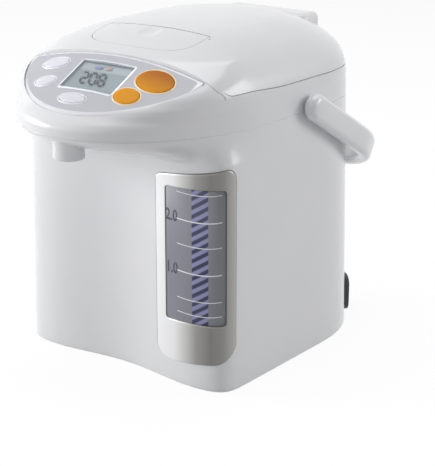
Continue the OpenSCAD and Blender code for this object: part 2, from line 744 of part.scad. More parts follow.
module handle_pins() {
  x = rim_hw - wall - fit - lug_t;
  color("silver") {
    at_pivots(x - 2) cylinder(d = pivot_d + 6, h = 2);
    at_pivots(x - 1) cylinder(d = pivot_d, h = rim_hw + handle_gap + pin_depth - 0.2 - x + 1);
  }
}

// ---- lid ------------------------------------------------------------------------------------

lid_wall = 2.2;
ear_x = 30;
ear_t = 6;
knuckle_r = 6;
cover_w = 100;
cover_y0 = 88;
cover_y1 = 118;
cover_z = top_z - 7;
plug_r = pot_r - 2.5;
plug_h = lid_z - pot_top_z + 5.5;
plate_h = 2;
gasket_t = 2.7;
valve_y = 30;
lid_posts = [[-82, -78], [82, -78], [-80, 62], [80, 62]];
module hinge_line(x) { translate([x, hinge_y, axis_z]) rotate([0, 90, 0]) children(); }
ear_foot = 3.5;
bracket_w = 84;
bracket_y0 = hinge_y - 16;
bracket_y1 = hinge_y + 2;
bracket_t = 2;
bracket_z = deck_z - wall - bracket_t;
hinge_screw_d = 3;
module at_hinge_screws(z) { for (s = [-1, 1]) translate([s * 14, bracket_y0 + 6, z]) children(); }
module at_ears(t) { for (s = [-1, 1]) hinge_line(s * ear_x - t / 2) children(); }
module ear_post(grow) {
  for (s = [-1, 1])
    translate([s * ear_x - ear_t / 2 - grow, hinge_y - knuckle_r + 1 - grow, bracket_z])
      cube([ear_t + 2 * grow, knuckle_r - 1 + ear_foot + 2 * grow, axis_z - bracket_z]);
}
module hinge_bracket() {
  color("silver") difference() {
    union() {
      translate([-bracket_w / 2, bracket_y0, bracket_z])
        cube([bracket_w, bracket_y1 - bracket_y0, bracket_t]);
      ear_post(0);
      at_ears(ear_t) cylinder(r = knuckle_r - 1, h = ear_t);
    }
    hinge_line(-60) cylinder(d = hinge_pin_d, h = 120);
    at_hinge_screws(bracket_z - 1) cylinder(d = hinge_screw_d, h = 5);
  }
}
module hinge_screws() {
  color("silver") {
    at_hinge_screws(deck_z - 1.3) cylinder(d = 2 * hinge_screw_d, h = 1.2);
    at_hinge_screws(bracket_z - 1) cylinder(d = hinge_screw_d - 0.1, h = deck_z - 1.3 - bracket_z + 2);
  }
}
module hinge_pin() {
  color("silver") hinge_line(-ear_x - ear_t / 2 - 10)
    cylinder(d = hinge_pin_d, h = 2 * ear_x + ear_t + 20);
}
// Where the lid leaves room for the fixed bracket and swings past the deck
module hinge_room() {
  for (s = [-1, 1])
    translate([s * ear_x - ear_t / 2 - lid_gap, hinge_y - knuckle_r - lid_gap, lid_z - 1])
      cube([ear_t + 2 * lid_gap, 40, hinge_rise + knuckle_r + 1]);
  difference() {
    translate([-150, hinge_y, lid_z - 1]) cube([300, 40, hinge_rise + 1]);
    hinge_line(-160) cylinder(r = knuckle_r, h = 320);
  }
}
module hinge_cover() {
  z0 = rear_rows[0][Z] + 1;
  mid = (cover_y0 + cover_y1) / 2;
  color("white") difference() {
    translate([0, mid, z0]) slab(cover_w, cover_y1 - cover_y0, cover_z - z0, 7);
    casing(rear_rows);
    translate([0, mid, z0 - 1])
      slab(cover_w - 2 * wall, cover_y1 - cover_y0 - 2 * wall, cover_z - z0 + 1 - wall, 5);
    hinge_room();
  }
}

// The lever lies in a pocket of the lid, on a rod from wall to wall of the pocket
lever_t = 3.5;
lever_gap = 0.6;
lever_sweep = 0.9;
pocket_wall = 2;
pocket_d = 10;
lever_rear = -62;
lever_round = 0.5;
rod_d = 3;
rod_y = lever_rear - 4;
rod_z = top_z - 9.2;
module lever_plan(grow, rear) {
  a = lever_w / 2 + grow;
  b = lever_d + grow + (grow > 0 ? lever_sweep : 0);
  polygon(concat([for (t = [180 : 4 : 360]) [a * sign(cos(t)) * pow(abs(cos(t)), lever_round),
      lever_rear + b * sign(sin(t)) * pow(abs(sin(t)), lever_round)]],
    [[a, lever_rear + rear + 0.01], [-a, lever_rear + rear + 0.01]]));
}
module lever_prism(grow, rear) {
  translate([0, 0, top_rows[0][Z] + 1]) linear_extrude(60) lever_plan(grow, rear);
}
barrel_w = 128;
module lid_outer() {
  color("white") difference() {
    intersection() {
      casing(lid_rows);
      lid_zone(0, 0);
    }
    // hollow, in which the lever's pocket, the knuckles and the posts stay
    difference() {
      intersection() {
        casing_core(lid_rows, lid_wall);
        lid_zone(-lid_wall, 1);
      }
      difference() {
        lever_prism(lever_gap + pocket_wall, 3 * pocket_wall);
        casing_core(top_rows, pocket_d + pocket_wall);
      }
      hinge_line(-barrel_w / 2) cylinder(r = knuckle_r, h = barrel_w);
      translate([-barrel_w / 2, hinge_y, axis_z - knuckle_r])
        cube([barrel_w, 20, 2 * knuckle_r]);
      for (p = lid_posts) translate([p[0], p[1], lid_z + plate_h]) cylinder(r = 4, h = 60);
    }
    difference() {
      lever_prism(lever_gap, 2 * lever_sweep);
      casing_core(top_rows, pocket_d);
    }
    hinge_line(-60) cylinder(d = hinge_pin_d + 0.1, h = 120);
    hinge_room();
    translate([-lever_w / 2 - 3.5, rod_y, rod_z]) rotate([0, 90, 0]) cylinder(d = rod_d + 0.1, h = lever_w + 7);
    for (p = lid_posts) translate([p[0], p[1], lid_z]) cylinder(d = 2.5, h = 14);
    // slot for the lever's finger and the rocker, and the mouth of the latch
    translate([-5.5, rod_y - 14, lid_z + 10]) cube([11, 20, rod_z - lid_z - 12.5]);
    translate([-latch_w / 2 - fit, panel_rear - 14, latch_z - fit])
      cube([latch_w + 2 * fit, 30, latch_t + 2 * fit]);
  }
}
module lid_lever() {
  color("white") difference() {
    union() {
      difference() {
        intersection() {
          casing(top_rows);
          lever_prism(0, 0);
        }
        casing_core(top_rows, lever_t);
        // finger scoop
        translate([0, lever_rear - 0.62 * lever_d, top_z - 7 + 58]) sphere(r = 60);
      }
      for (x = [-46, 40]) translate([x, rod_y, rod_z]) rotate([0, 90, 0]) cylinder(d = rod_d + 3, h = 6);
      translate([-4, rod_y - 2, rod_z - finger_h]) cube([8, 4, finger_h + 2.5]);
    }
    translate([-100, rod_y, rod_z]) rotate([0, 90, 0]) cylinder(d = rod_d + 0.1, h = 200);
  }
}
module lever_pin() {
  color("silver") translate([-lever_w / 2 - 3, rod_y, rod_z]) rotate([0, 90, 0])
    cylinder(d = rod_d, h = lever_w + 6);
}

// The lever's finger tips the rocker, and the rocker draws the latch back
finger_h = 12;
rocker_z = rod_z - 16;
rocker_y = rod_y - 4;
rocker_up = 12;
rocker_down = 8;
latch_w = 22;
latch_t = 4;
latch_z = lid_z + 6;
latch_reach = 3.4;
latch_back = rod_y - 2;
lug_y = 4;
module latch_rocker() {
  color("silver") translate([0, rocker_y, rocker_z]) difference() {
    union() {
      translate([-4, -1.5, -rocker_down]) cube([8, 3, rocker_up + rocker_down]);
      translate([-4, 0, 0]) rotate([0, 90, 0]) cylinder(d = 6, h = 8);
    }
    translate([-10, 0, 0]) rotate([0, 90, 0]) cylinder(d = rod_d + 0.1, h = 20);
  }
}
module rocker_stand() {
  color("white") difference() {
    for (s = [-1, 1]) translate([s * 6.5 - 1.5, rocker_y - 3.5, lid_z + plate_h])
      cube([3, 7, rocker_z - lid_z - plate_h + 3.5]);
    translate([-20, rocker_y, rocker_z]) rotate([0, 90, 0]) cylinder(d = rod_d, h = 40);
  }
}
module rocker_pin() {
  color("silver") translate([-8.5, rocker_y, rocker_z]) rotate([0, 90, 0]) cylinder(d = rod_d, h = 17);
}
module latch_hook() {
  front = panel_rear - latch_reach;
  color("ivory") {
    translate([-latch_w / 2, front, latch_z]) cube([latch_w, latch_back - front - 20, latch_t]);
    translate([-4.2, latch_back - 21, latch_z]) cube([8.4, 21 + lug_y, latch_t]);
    translate([-4.2, latch_back, latch_z]) cube([8.4, lug_y, rocker_z - rocker_down + 3 - latch_z]);
  }
}
module latch_guides() {
  front = panel_rear - latch_reach;
  color("white") for (s = [-1, 1])
    translate([s * (latch_w / 2 + 1.9) - 1.5, front + 9, lid_z + plate_h])
      cube([3, 24, latch_z + latch_t - lid_z - plate_h + 1]);
}
module latch_spring() {
  y0 = latch_back + lug_y;
  turns = 11;
  length = 14;
  color("silver") for (i = [0 : turns - 1])
    translate([0, y0 + 0.5 + i * (length - 1) / (turns - 1), latch_z + 3.5]) rotate([90, 0, 0])
      rotate_extrude() translate([3.2, 0]) circle(d = 1, $fn = 20);
}
module lid_inner() {
  color("silver") difference() {
    union() {
      intersection() {
        casing_core(rim_rows, lid_wall + fit);
        lid_zone(-lid_wall - fit, 0);
        translate([-200, -200, lid_z]) cube([400, 400, plate_h]);
      }
      translate([0, 0, lid_z - plug_h]) cylinder(r = plug_r, h = plug_h);
    }
    translate([0, 0, lid_z - plug_h + 1.5]) cylinder(r = plug_r - 1.5, h = plug_h - 1.5);
    translate([0, valve_y, lid_z - plug_h - 1]) cylinder(d = 16.2, h = 30);
    for (p = lid_posts) translate([p[0], p[1], lid_z - 1]) {
      cylinder(d = 2.9, h = 10);
      cylinder(d = 6, h = 2.2);
    }
    // room for the hinge's barrel
    translate([-barrel_w / 2 - fit, hinge_y - knuckle_r - fit, lid_z - 1]) cube([barrel_w + 2 * fit, 40, 20]);
  }
}
module lid_gasket() {
  color("dimgray") translate([0, 0, pot_top_z + fit]) tube(pot_r + 2, plug_r, gasket_t);
}
module steam_valve() {
  color("white") translate([0, valve_y, lid_z - plug_h - 3]) difference() {
    union() {
      cylinder(d = 22, h = 3);
      cylinder(d = 16, h = plug_h + 12);
    }
    translate([0, 0, 2]) cylinder(d = 12, h = plug_h + 8);
    translate([0, 0, -1]) cylinder(d = 5, h = 60);
  }
}
module valve_ball() {
  color("silver") translate([0, valve_y, lid_z - plug_h + 2.8]) sphere(d = 9);
}
module lid_screws() {
  color("silver") for (p = lid_posts) translate([p[0], p[1], lid_z]) {
    cylinder(d = 5.4, h = 1.2);
    translate([0, 0, 1.2]) cylinder(d = 2.5, h = 10);
  }
}

body_shell();
base_plate();
rubber_feet();
base_screws();
top_cover();
control_panel();
lcd_lens();
lcd_module();
control_board();
tact_switches();
dispense_button();
unlock_button();
reboil_button();
timer_button();
temp_button();
spout_nozzle();
spout_tube();
riser_pipe();
window_frame();
window_pane();
gauge_tube();
gauge_fittings();
inner_pot();
pot_screws();
pot_seal();
heat_jacket();
heater_plate();
thermistor();
pump_housing();
pump_motor();
impeller();
pump_inlet_seal();
power_board();
power_inlet();
inlet_contacts();
handle();
handle_pins();
hinge_bracket();
hinge_screws();
hinge_pin();
hinge_cover();
lid_outer();
lid_inner();
lid_gasket();
steam_valve();
valve_ball();
lid_lever();
lever_pin();
latch_rocker();
rocker_stand();
rocker_pin();
latch_hook();
latch_guides();
latch_spring();
lid_screws();
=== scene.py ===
import math
import bmesh
import bpy
import numpy as np
from mathutils import Matrix, Vector

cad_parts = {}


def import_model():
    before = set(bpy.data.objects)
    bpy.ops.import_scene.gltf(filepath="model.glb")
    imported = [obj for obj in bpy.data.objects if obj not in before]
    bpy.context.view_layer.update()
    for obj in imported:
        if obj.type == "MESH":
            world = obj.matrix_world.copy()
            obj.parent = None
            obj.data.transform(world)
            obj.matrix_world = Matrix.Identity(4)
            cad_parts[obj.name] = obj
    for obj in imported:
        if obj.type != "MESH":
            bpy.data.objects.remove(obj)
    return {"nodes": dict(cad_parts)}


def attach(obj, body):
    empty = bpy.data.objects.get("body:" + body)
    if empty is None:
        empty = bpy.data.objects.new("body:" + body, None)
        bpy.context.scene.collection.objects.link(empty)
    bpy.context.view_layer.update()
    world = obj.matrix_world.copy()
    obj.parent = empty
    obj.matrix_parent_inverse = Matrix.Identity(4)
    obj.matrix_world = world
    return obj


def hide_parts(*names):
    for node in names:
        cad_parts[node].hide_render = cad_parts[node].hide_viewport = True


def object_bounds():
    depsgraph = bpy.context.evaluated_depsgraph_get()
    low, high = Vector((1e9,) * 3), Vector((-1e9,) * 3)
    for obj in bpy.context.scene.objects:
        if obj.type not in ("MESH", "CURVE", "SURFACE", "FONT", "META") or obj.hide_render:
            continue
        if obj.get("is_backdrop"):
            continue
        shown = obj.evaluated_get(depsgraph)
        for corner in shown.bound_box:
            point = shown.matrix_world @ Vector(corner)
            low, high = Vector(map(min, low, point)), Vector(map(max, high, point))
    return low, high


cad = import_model()["nodes"]
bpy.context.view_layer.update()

# ---- Camera ---------------------------------------------------------------------------------
# It stands in front of the pot's right corner, a little above the lid, and looks slightly down.


def placed(name, data):
    """An object of its data, in the scene."""
    made = bpy.data.objects.new(name, data)
    bpy.context.scene.collection.objects.link(made)
    return made


camera = placed("camera", bpy.data.cameras.new("camera"))
camera.data.lens, camera.data.sensor_width, camera.data.clip_end = 109.8, 36, 40
camera.location = (0.7878, -1.0083, 0.5135)
camera.rotation_euler = (math.radians(71.8), 0, math.radians(37.4))
bpy.context.scene.camera = camera

# ---- Feet -----------------------------------------------------------------------------------
# Four corner feet and a middle pad of black rubber, pressed with their stems into the base plate.
# Moulded rubber is matt, with a fine grain and a bloom that makes it slightly uneven.
MM = 0.001


def linear(hex_colour):
    """An sRGB hex colour as the linear one that a shader takes."""
    parts = [int(hex_colour[k:k + 2], 16) / 255 for k in (1, 3, 5)]
    return (*[c / 12.92 if c <= 0.04045 else ((c + 0.055) / 1.055) ** 2.4 for c in parts], 1.0)


def feed(tree, node, inputs):
    """Gives inputs, by name or in their order, a value, a hex colour, or a link from a node or socket."""
    for name, value in enumerate(inputs) if isinstance(inputs, list) else inputs.items():
        for source in value if isinstance(value, list) else [value]:
            if isinstance(source, bpy.types.Node):
                source = next(socket for socket in source.outputs if socket.enabled)
            if isinstance(source, bpy.types.NodeSocket):
                tree.links.new(source, node.inputs[name])
            else:
                is_colour = isinstance(source, str) and source.startswith("#")
                node.inputs[name].default_value = linear(source) if is_colour else source


def add(tree, kind, inputs=None, **settings):
    """Adds a node; its kind goes without ShaderNode or GeometryNode in front."""
    kinds = [start + kind for start in ("", "ShaderNode", "GeometryNode") if hasattr(bpy.types, start + kind)]
    made = tree.nodes.new(kinds[0])
    for name, value in settings.items():
        setattr(made, name, value)
    feed(tree, made, inputs or {})
    return made


def new_material(name, **shader_values):
    """A material with one shader, whose patterns are placed by the piece's own coordinates."""
    material = bpy.data.materials.new(name)
    material.use_nodes = True
    tree = material.node_tree
    tree.nodes.clear()
    values = {key.replace("_", " "): value for key, value in shader_values.items()}
    shader = add(tree, "BsdfPrincipled", values)
    add(tree, "OutputMaterial", {"Surface": shader})
    add(tree, "TexCoord")
    return material


def inside(material):
    """A material's tree, its shader, and the place on the piece."""
    tree = material.node_tree
    return tree, tree.nodes["Principled BSDF"], tree.nodes["Texture Coordinate"].outputs["Object"]


def two_tones(material, share, low, high):
    """Colours a material by a share between two tones."""
    tree, shader, _ = inside(material)
    tint = add(tree, "Mix", {"Factor": share, 6: low, 7: high}, data_type="RGBA")
    feed(tree, shader, {"Base Color": tint})
    return tint


def mottle(material, size, detail, tones=None, gloss=None, lift=None):
    """Noise with grains of a size in millimetres, or of one for each axis. It mixes two tones, spreads the
    roughness between two values, or lifts the surface by a strength and a height in millimetres."""
    tree, shader, place = inside(material)
    scale = 1.0
    if isinstance(size, tuple):
        place = add(tree, "Mapping", {"Vector": place, "Scale": tuple(1 / (s * MM) for s in size)})
    else:
        scale = 1 / (size * MM)
    noise = add(tree, "TexNoise", {"Vector": place, "Scale": scale, "Detail": detail})
    if gloss:
        feed(tree, shader, {"Roughness": add(tree, "MapRange", {
            "Value": noise, "To Min": gloss[0], "To Max": gloss[1]})})
    if lift:
        feed(tree, shader, {"Normal": add(tree, "Bump", {
            "Strength": lift[0], "Distance": lift[1] * MM, "Height": noise})})
    return two_tones(material, noise, *tones) if tones else noise


def finish(material, *nodes):
    """Gives CAD nodes their material."""
    for node in nodes:
        for slot in cad[node].material_slots:
            slot.material = material


rubber = new_material("moulded_black_rubber", Base_Color="#2c2c2d", Roughness=0.72, IOR=1.52)
mottle(rubber, 6, 4, ("#262627", "#3a3a3b"))
mottle(rubber, 0.5, 2, lift=(0.4, 0.1))
finish(rubber, "rubber_feet")

# ---- Base plate -----------------------------------------------------------------------------
# The floor of the casing is a plate of white polypropylene with cooling slots under the board.
# Moulded polypropylene is waxy and a little translucent, with a soft spark-eroded grain.
polypropylene = new_material("moulded_polypropylene", Base_Color="#dedcd6", Roughness=0.48, IOR=1.49,
                             Subsurface_Weight=0.08, Subsurface_Scale=2 * MM)
mottle(polypropylene, 25, 3, ("#d6d4cd", "#e4e2dd"))
mottle(polypropylene, 0.8, 3, lift=(0.25, 0.06))
finish(polypropylene, "base_plate")

# ---- Screws ---------------------------------------------------------------------------------
# Zinc-plated steel screws with cross recesses hold the base plate, the inner pot's tabs and the
# hinge's bracket. Plating over turned steel is bright, with fine streaks and a cool tint.
zinc = new_material("zinc_plated_steel", Base_Color="#c3c6ca", Metallic=1.0, Roughness=0.3)
mottle(zinc, 0.6, 3, gloss=(0.22, 0.42), lift=(0.15, 0.02))


def interface(tree, result="Geometry", **kinds):
    """Names a tree's inputs and the kind of its result, and gives the input sockets and the output node."""
    for name, kind in kinds.items():
        tree.interface.new_socket(
            name=name.replace("_", " "), in_out="INPUT", socket_type="NodeSocket" + kind)
    tree.interface.new_socket(name="Result", in_out="OUTPUT", socket_type="NodeSocket" + result)
    return tree.nodes.new("NodeGroupInput").outputs, tree.nodes.new("NodeGroupOutput")


def end_tree(tree, shape, given, out):
    """Makes a tree's instances real and gives the shape its material."""
    real = add(tree, "RealizeInstances", [shape])
    feed(tree, out, [add(tree, "SetMaterial", {"Geometry": real, "Material": given["Material"]})])


def applied(piece):
    """A piece's mesh with its modifiers applied."""
    graph = bpy.context.evaluated_depsgraph_get()
    return bpy.data.meshes.new_from_object(piece.evaluated_get(graph))


def from_tree(name, tree, mesh, **values):
    """Runs a geometry tree on a mesh, and keeps the result as a plain mesh."""
    piece = placed(name, mesh)
    modifier = piece.modifiers.new("build", "NODES")
    modifier.node_group = tree
    for item in tree.interface.items_tree:
        key = item.name.replace(" ", "_")
        if item.in_out == "INPUT" and key in values:
            modifier[item.identifier] = values[key]
    made = applied(piece)
    piece.modifiers.clear()
    piece.data = made
    made.name = name
    return piece


def mount(piece, body, node=None):
    """Names the body that a piece rides on, and has it replace a CAD node."""
    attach(piece, body)
    if node:
        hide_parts(node)


recess_arm, recess_slot = 1.15, 0.7  # of the head's radius, and in millimetres
screw_tree = t = bpy.data.node_groups.new("Screws", "GeometryNodeTree")
given, out = interface(
    t, Points="Geometry", Head_Radius="Float", Head_Height="Float", Shank_Radius="Float",
    Shank_Length="Float", Turn="Vector", Material="Material")
half_head = add(t, "Math", [given["Head Height"], -0.5], operation="MULTIPLY")
lower_head = add(t, "CombineXYZ", {"Z": half_head})
head = add(t, "MeshCylinder", {
    "Vertices": 28, "Radius": given["Head Radius"], "Depth": given["Head Height"]})
head = add(t, "Transform", {"Geometry": head, "Translation": lower_head})
arm = add(t, "Math", [given["Head Radius"], recess_arm], operation="MULTIPLY")
slot_size = add(t, "CombineXYZ", [arm, recess_slot * MM, given["Head Height"]])
slot_a = add(t, "MeshCube", {"Size": slot_size})
slot_b = add(t, "Transform", {"Geometry": slot_a, "Rotation": (0, 0, math.pi / 2)})
head = add(t, "MeshBoolean", {"Mesh 1": head, "Mesh 2": [slot_a, slot_b]}, operation="DIFFERENCE")
half_shank = add(t, "Math", [given["Shank Length"], -0.5], operation="MULTIPLY")
shank_middle = add(t, "Math", [half_shank, given["Head Height"]], operation="SUBTRACT")
lower_shank = add(t, "CombineXYZ", {"Z": shank_middle})
shank = add(t, "MeshCylinder", {
    "Vertices": 16, "Radius": given["Shank Radius"], "Depth": given["Shank Length"]})
shank = add(t, "Transform", {"Geometry": shank, "Translation": lower_shank})
screw = add(t, "JoinGeometry", {"Geometry": [head, shank]})
end_tree(t, add(t, "InstanceOnPoints", {
    "Points": given["Points"], "Instance": screw, "Rotation": given["Turn"]}), given, out)


def screws(name, body, spots, z, head, shank, turn=math.pi):
    """Screws with their heads' faces at a height; head and shank are a diameter and a length."""
    points = bpy.data.meshes.new(name)
    points.from_pydata([(x * MM, y * MM, z * MM) for x, y in spots], [], [])
    made = from_tree(name, screw_tree, points, Head_Radius=head[0] / 2 * MM, Head_Height=head[1] * MM,
                     Shank_Radius=shank[0] / 2 * MM, Shank_Length=shank[1] * MM,
                     Turn=(turn, 0.0, 0.0), Material=zinc)
    mount(made, body, name)


base_z, pot_top_z, lid_z, deck_z, tab_r = 4.0, 250.0, 255.5, 254.9, 99
boss_spots = [(-98, -100), (98, -100), (-84, 84), (84, 84)]
screws("base_screws", "pot", boss_spots, base_z - 2.2, (8, 2.2), (3.9, 19.8))
tab_spots = [(tab_r * math.cos(a), tab_r * math.sin(a)) for a in np.radians((45, 135, 225, 315))]
screws("pot_screws", "pot", tab_spots, pot_top_z - 2.6, (6, 1.6), (2.9, 4))
bracket_spots = [(-14, 102), (14, 102)]
screws("hinge_screws", "pot", bracket_spots, deck_z - 0.1, (6, 1.2), (2.9, 5.3), turn=0.0)

# ---- Body shell -----------------------------------------------------------------------------
# The body is one deep moulding of white ABS: a soft-cornered box with leaning walls and a hollow
# front, which flares out under the beak. Its outline is a squared oval at every level.
wall = 2.5
foot_hw, foot_hd, rim_z, top_z, lean_total = 117.5, 124.0, 227.0, 302.0, 4.0
rim_hw, rim_hd, beak_reach, front_hollow = foot_hw - 4, foot_hd - 4, 199.0, 8.4
front_mid, rear_mid, body_square, rear_square = -60.0, 20.0, 8.0, 2.9

abs_white = new_material("gloss_white_abs", Base_Color="#e9eaec", Roughness=0.24, IOR=1.53, Coat_Weight=0.25,
                         Coat_Roughness=0.12)
# Injection moulding leaves a faint waviness from cooling, and a satin grain too fine to see but in
# the gloss, drawn at 0.6 mm so that it shows at all.
mottle(abs_white, 60, 2, ("#e6e7ea", "#ebebec"))
mottle(abs_white, 0.6, 2, gloss=(0.2, 0.3), lift=(0.05, 0.02))

# One level's outline: how far it reaches from its middle at an angle
reach = bpy.data.node_groups.new("Squared oval reach", "GeometryNodeTree")
given, out = interface(
    reach, "Float", Cosine="Float", Sine="Float", Half_Width="Float", Length="Float", Squareness="Float")
terms = []
for side, size in (("Cosine", "Half Width"), ("Sine", "Length")):
    share = add(reach, "Math", [given[side], given[size]], operation="DIVIDE")
    share = add(reach, "Math", [share], operation="ABSOLUTE")
    terms.append(add(reach, "Math", [share, given["Squareness"]], operation="POWER"))
root = add(reach, "Math", [-1.0, given["Squareness"]], operation="DIVIDE")
feed(reach, out, [add(reach, "Math", [add(reach, "Math", terms, operation="ADD"), root], operation="POWER")])

# The casing: a sheet of levels and columns, wrapped round the outline of each level. The levels come
# as points with their sizes: side (half width, rear length, where the front half starts), front (its
# length on the body, on the beak, share of the beak) and form (squareness front, rear, hollow).
casing_tree = t = bpy.data.node_groups.new("Casing", "GeometryNodeTree")
given, out = interface(t, Levels="Geometry", Columns="Int", Body_Squareness="Float", Rear_Middle="Float",
                       Material="Material")
levels = add(t, "AttributeDomainSize", {"Geometry": given["Levels"]})
half_turn = add(t, "Math", [given["Columns"], 1.0], operation="ADD")
full_turn = add(t, "Math", [half_turn, 2.0], operation="MULTIPLY")
around = add(t, "Math", [full_turn, 1.0], operation="ADD")
sheet = add(t, "MeshGrid", {"Vertices X": levels.outputs["Point Count"], "Vertices Y": around})
index = add(t, "InputIndex")
level = add(t, "Math", [index, around], operation="DIVIDE")
level = add(t, "Math", [level], operation="FLOOR")
column = add(t, "Math", [index, around], operation="MODULO")
column = add(t, "Math", [column, full_turn], operation="MODULO")
in_half = add(t, "Math", [column, half_turn], operation="MODULO")
is_front = add(t, "Math", [column, half_turn], operation="LESS_THAN")
share = add(t, "Math", [in_half, given["Columns"]], operation="DIVIDE")
turns = add(t, "Math", [share, is_front], operation="ADD")
angle = add(t, "Math", [turns, math.pi], operation="MULTIPLY")
cosine = add(t, "Math", [angle], operation="COSINE")
sine = add(t, "Math", [angle], operation="SINE")
sizes = {}
for name in ("side", "front", "form"):
    stored = add(t, "InputNamedAttribute", {"Name": name}, data_type="FLOAT_VECTOR")
    value = add(t, "SampleIndex", {
        "Geometry": given["Levels"], "Value": stored, "Index": level}, data_type="FLOAT_VECTOR")
    sizes[name] = add(t, "SeparateXYZ", [value]).outputs
height = add(t, "SampleIndex", {
    "Geometry": given["Levels"], "Value": add(t, "InputPosition"), "Index": level}, data_type="FLOAT_VECTOR")
height = add(t, "SeparateXYZ", [height]).outputs[2]
reaches = []
for size, square in ((sizes["front"][0], given["Body Squareness"]), (sizes["front"][1], sizes["form"][0]),
                     (sizes["side"][1], sizes["form"][1])):
    reaches.append(add(t, "GeometryNodeGroup", {
        "Cosine": cosine, "Sine": sine, "Half Width": sizes["side"][0], "Length": size,
        "Squareness": square}, node_tree=reach))
front = add(t, "Mix", {"Factor": sizes["front"][2], 2: reaches[0], 3: reaches[1]})
outline = add(t, "Mix", {"Factor": is_front, 2: reaches[2], 3: front})
x = add(t, "Math", [outline, cosine], operation="MULTIPLY")
y = add(t, "Math", [outline, sine], operation="MULTIPLY")
middle = add(t, "Mix", {"Factor": is_front, 2: given["Rear Middle"], 3: sizes["side"][2]})
y = add(t, "Math", [y, middle], operation="ADD")
across = add(t, "Math", [x, sizes["side"][0]], operation="DIVIDE")
across = add(t, "Math", [across], operation="ABSOLUTE")
across = add(t, "Math", [across, 0.75], operation="DIVIDE", use_clamp=True)
across = add(t, "Math", [across, math.pi / 2], operation="MULTIPLY")
dip = add(t, "Math", [across], operation="COSINE")
dip = add(t, "Math", [dip, dip], operation="MULTIPLY")
dip = add(t, "Math", [dip, sizes["form"][2]], operation="MULTIPLY")
dip = add(t, "Math", [dip, is_front], operation="MULTIPLY")
y = add(t, "Math", [y, dip], operation="ADD")
spot = add(t, "CombineXYZ", {"X": x, "Y": y, "Z": height})
wrapped = add(t, "SetPosition", {"Geometry": sheet, "Position": spot})
end_tree(t, add(t, "MergeByDistance", {"Geometry": wrapped, "Distance": 0.002 * MM}), given, out)

Z, HALF, FRONT, REAR, SQUARE_FRONT, SQUARE_REAR, MIDDLE, HOLLOW, BEAK = range(9)


def smooth_rows(rows, step):
    """Monotone curves through the known levels, with a level about every step millimetres."""
    rows = np.array(rows, float)
    gap = np.hypot(np.diff(rows[:, Z]), np.diff(rows[:, HALF]))
    slope = np.diff(rows, axis=0) / gap[:, None]
    tangent = np.vstack([slope[:1], np.zeros_like(slope[1:]), slope[-1:]])
    before, after = slope[:-1], slope[1:]
    weight_a, weight_b = (2 * gap[1:] + gap[:-1])[:, None], (gap[1:] + 2 * gap[:-1])[:, None]
    turning = before * after <= 0
    with np.errstate(divide="ignore", invalid="ignore"):
        mean = (weight_a + weight_b) / (weight_a / before + weight_b / after)
    tangent[1:-1] = np.where(turning, 0, mean)
    made = []
    for k, length in enumerate(gap):
        for s in np.arange(0, 1, 1 / math.ceil(length / step)):
            made.append((2 * s**3 - 3 * s**2 + 1) * rows[k] + (s**3 - 2 * s**2 + s) * length * tangent[k]
                        + (3 * s**2 - 2 * s**3) * rows[k + 1] + (s**3 - s**2) * length * tangent[k + 1])
    return np.array(made + [rows[-1]])


def inset_rows(rows, depth, below=0, above=0):
    """Levels pushed inwards, square to the front's profile, with the ends drawn out."""
    before, after = np.vstack([rows[:1], rows[:-1]]), np.vstack([rows[1:], rows[-1:]])
    run, rise = after[:, FRONT] - before[:, FRONT], after[:, Z] - before[:, Z]
    length = np.hypot(run, rise)
    made = rows.copy()
    made[:, Z] -= depth * run / length
    made[:, HALF] = np.maximum(made[:, HALF] - depth, 1)
    made[:, FRONT] += depth * rise / length
    made[:, REAR] = np.maximum(made[:, REAR] - depth, rear_mid + 1)
    low, high = made[:1].copy(), made[-1:].copy()
    low[:, Z] -= below
    high[:, Z] += above
    return np.vstack(([low] if below else []) + [made] + ([high] if above else []))


def casing(name, rows, columns=150):
    """The closed casing between the first and the last level."""
    points = bpy.data.meshes.new(name)
    points.from_pydata([(0, 0, r[Z] * MM) for r in rows], [], [])
    vectors = {"side": [], "front": [], "form": []}
    for r in rows:
        on_body = foot_hd - foot_hw + r[HALF] + r[MIDDLE]
        on_beak = on_body
        if r[BEAK] > 0:
            on_beak = max((r[MIDDLE] - r[FRONT] - (1 - r[BEAK]) * on_body) / r[BEAK], 1)
        vectors["side"] += [r[HALF] * MM, (r[REAR] - rear_mid) * MM, r[MIDDLE] * MM]
        vectors["front"] += [max(on_body, 1) * MM, on_beak * MM, r[BEAK]]
        vectors["form"] += [r[SQUARE_FRONT], r[SQUARE_REAR], r[HOLLOW] * MM]
    for key, values in vectors.items():
        points.attributes.new(key, "FLOAT_VECTOR", "POINT").data.foreach_set("vector", values)
    piece = from_tree(name, casing_tree, points, Columns=columns, Body_Squareness=body_square,
                      Rear_Middle=rear_mid * MM, Material=abs_white)
    return closed(piece)


def closed(piece):
    """Fills the open ends of a piece and turns its faces outwards."""
    work = bmesh.new()
    work.from_mesh(piece.data)
    bmesh.ops.remove_doubles(work, verts=work.verts, dist=0.001 * MM)
    rims = [edge for edge in work.edges if edge.is_boundary]
    bmesh.ops.holes_fill(work, edges=rims, sides=0)
    bmesh.ops.recalc_face_normals(work, faces=work.faces)
    work.to_mesh(piece.data)
    work.free()
    return piece


def solid(name, points, faces, material=None):
    """A closed piece from points in millimetres."""
    mesh = bpy.data.meshes.new(name)
    mesh.from_pydata((np.array(points, float) * MM).tolist(), [], faces)
    if material:
        mesh.materials.append(material)
    return closed(placed(name, mesh))


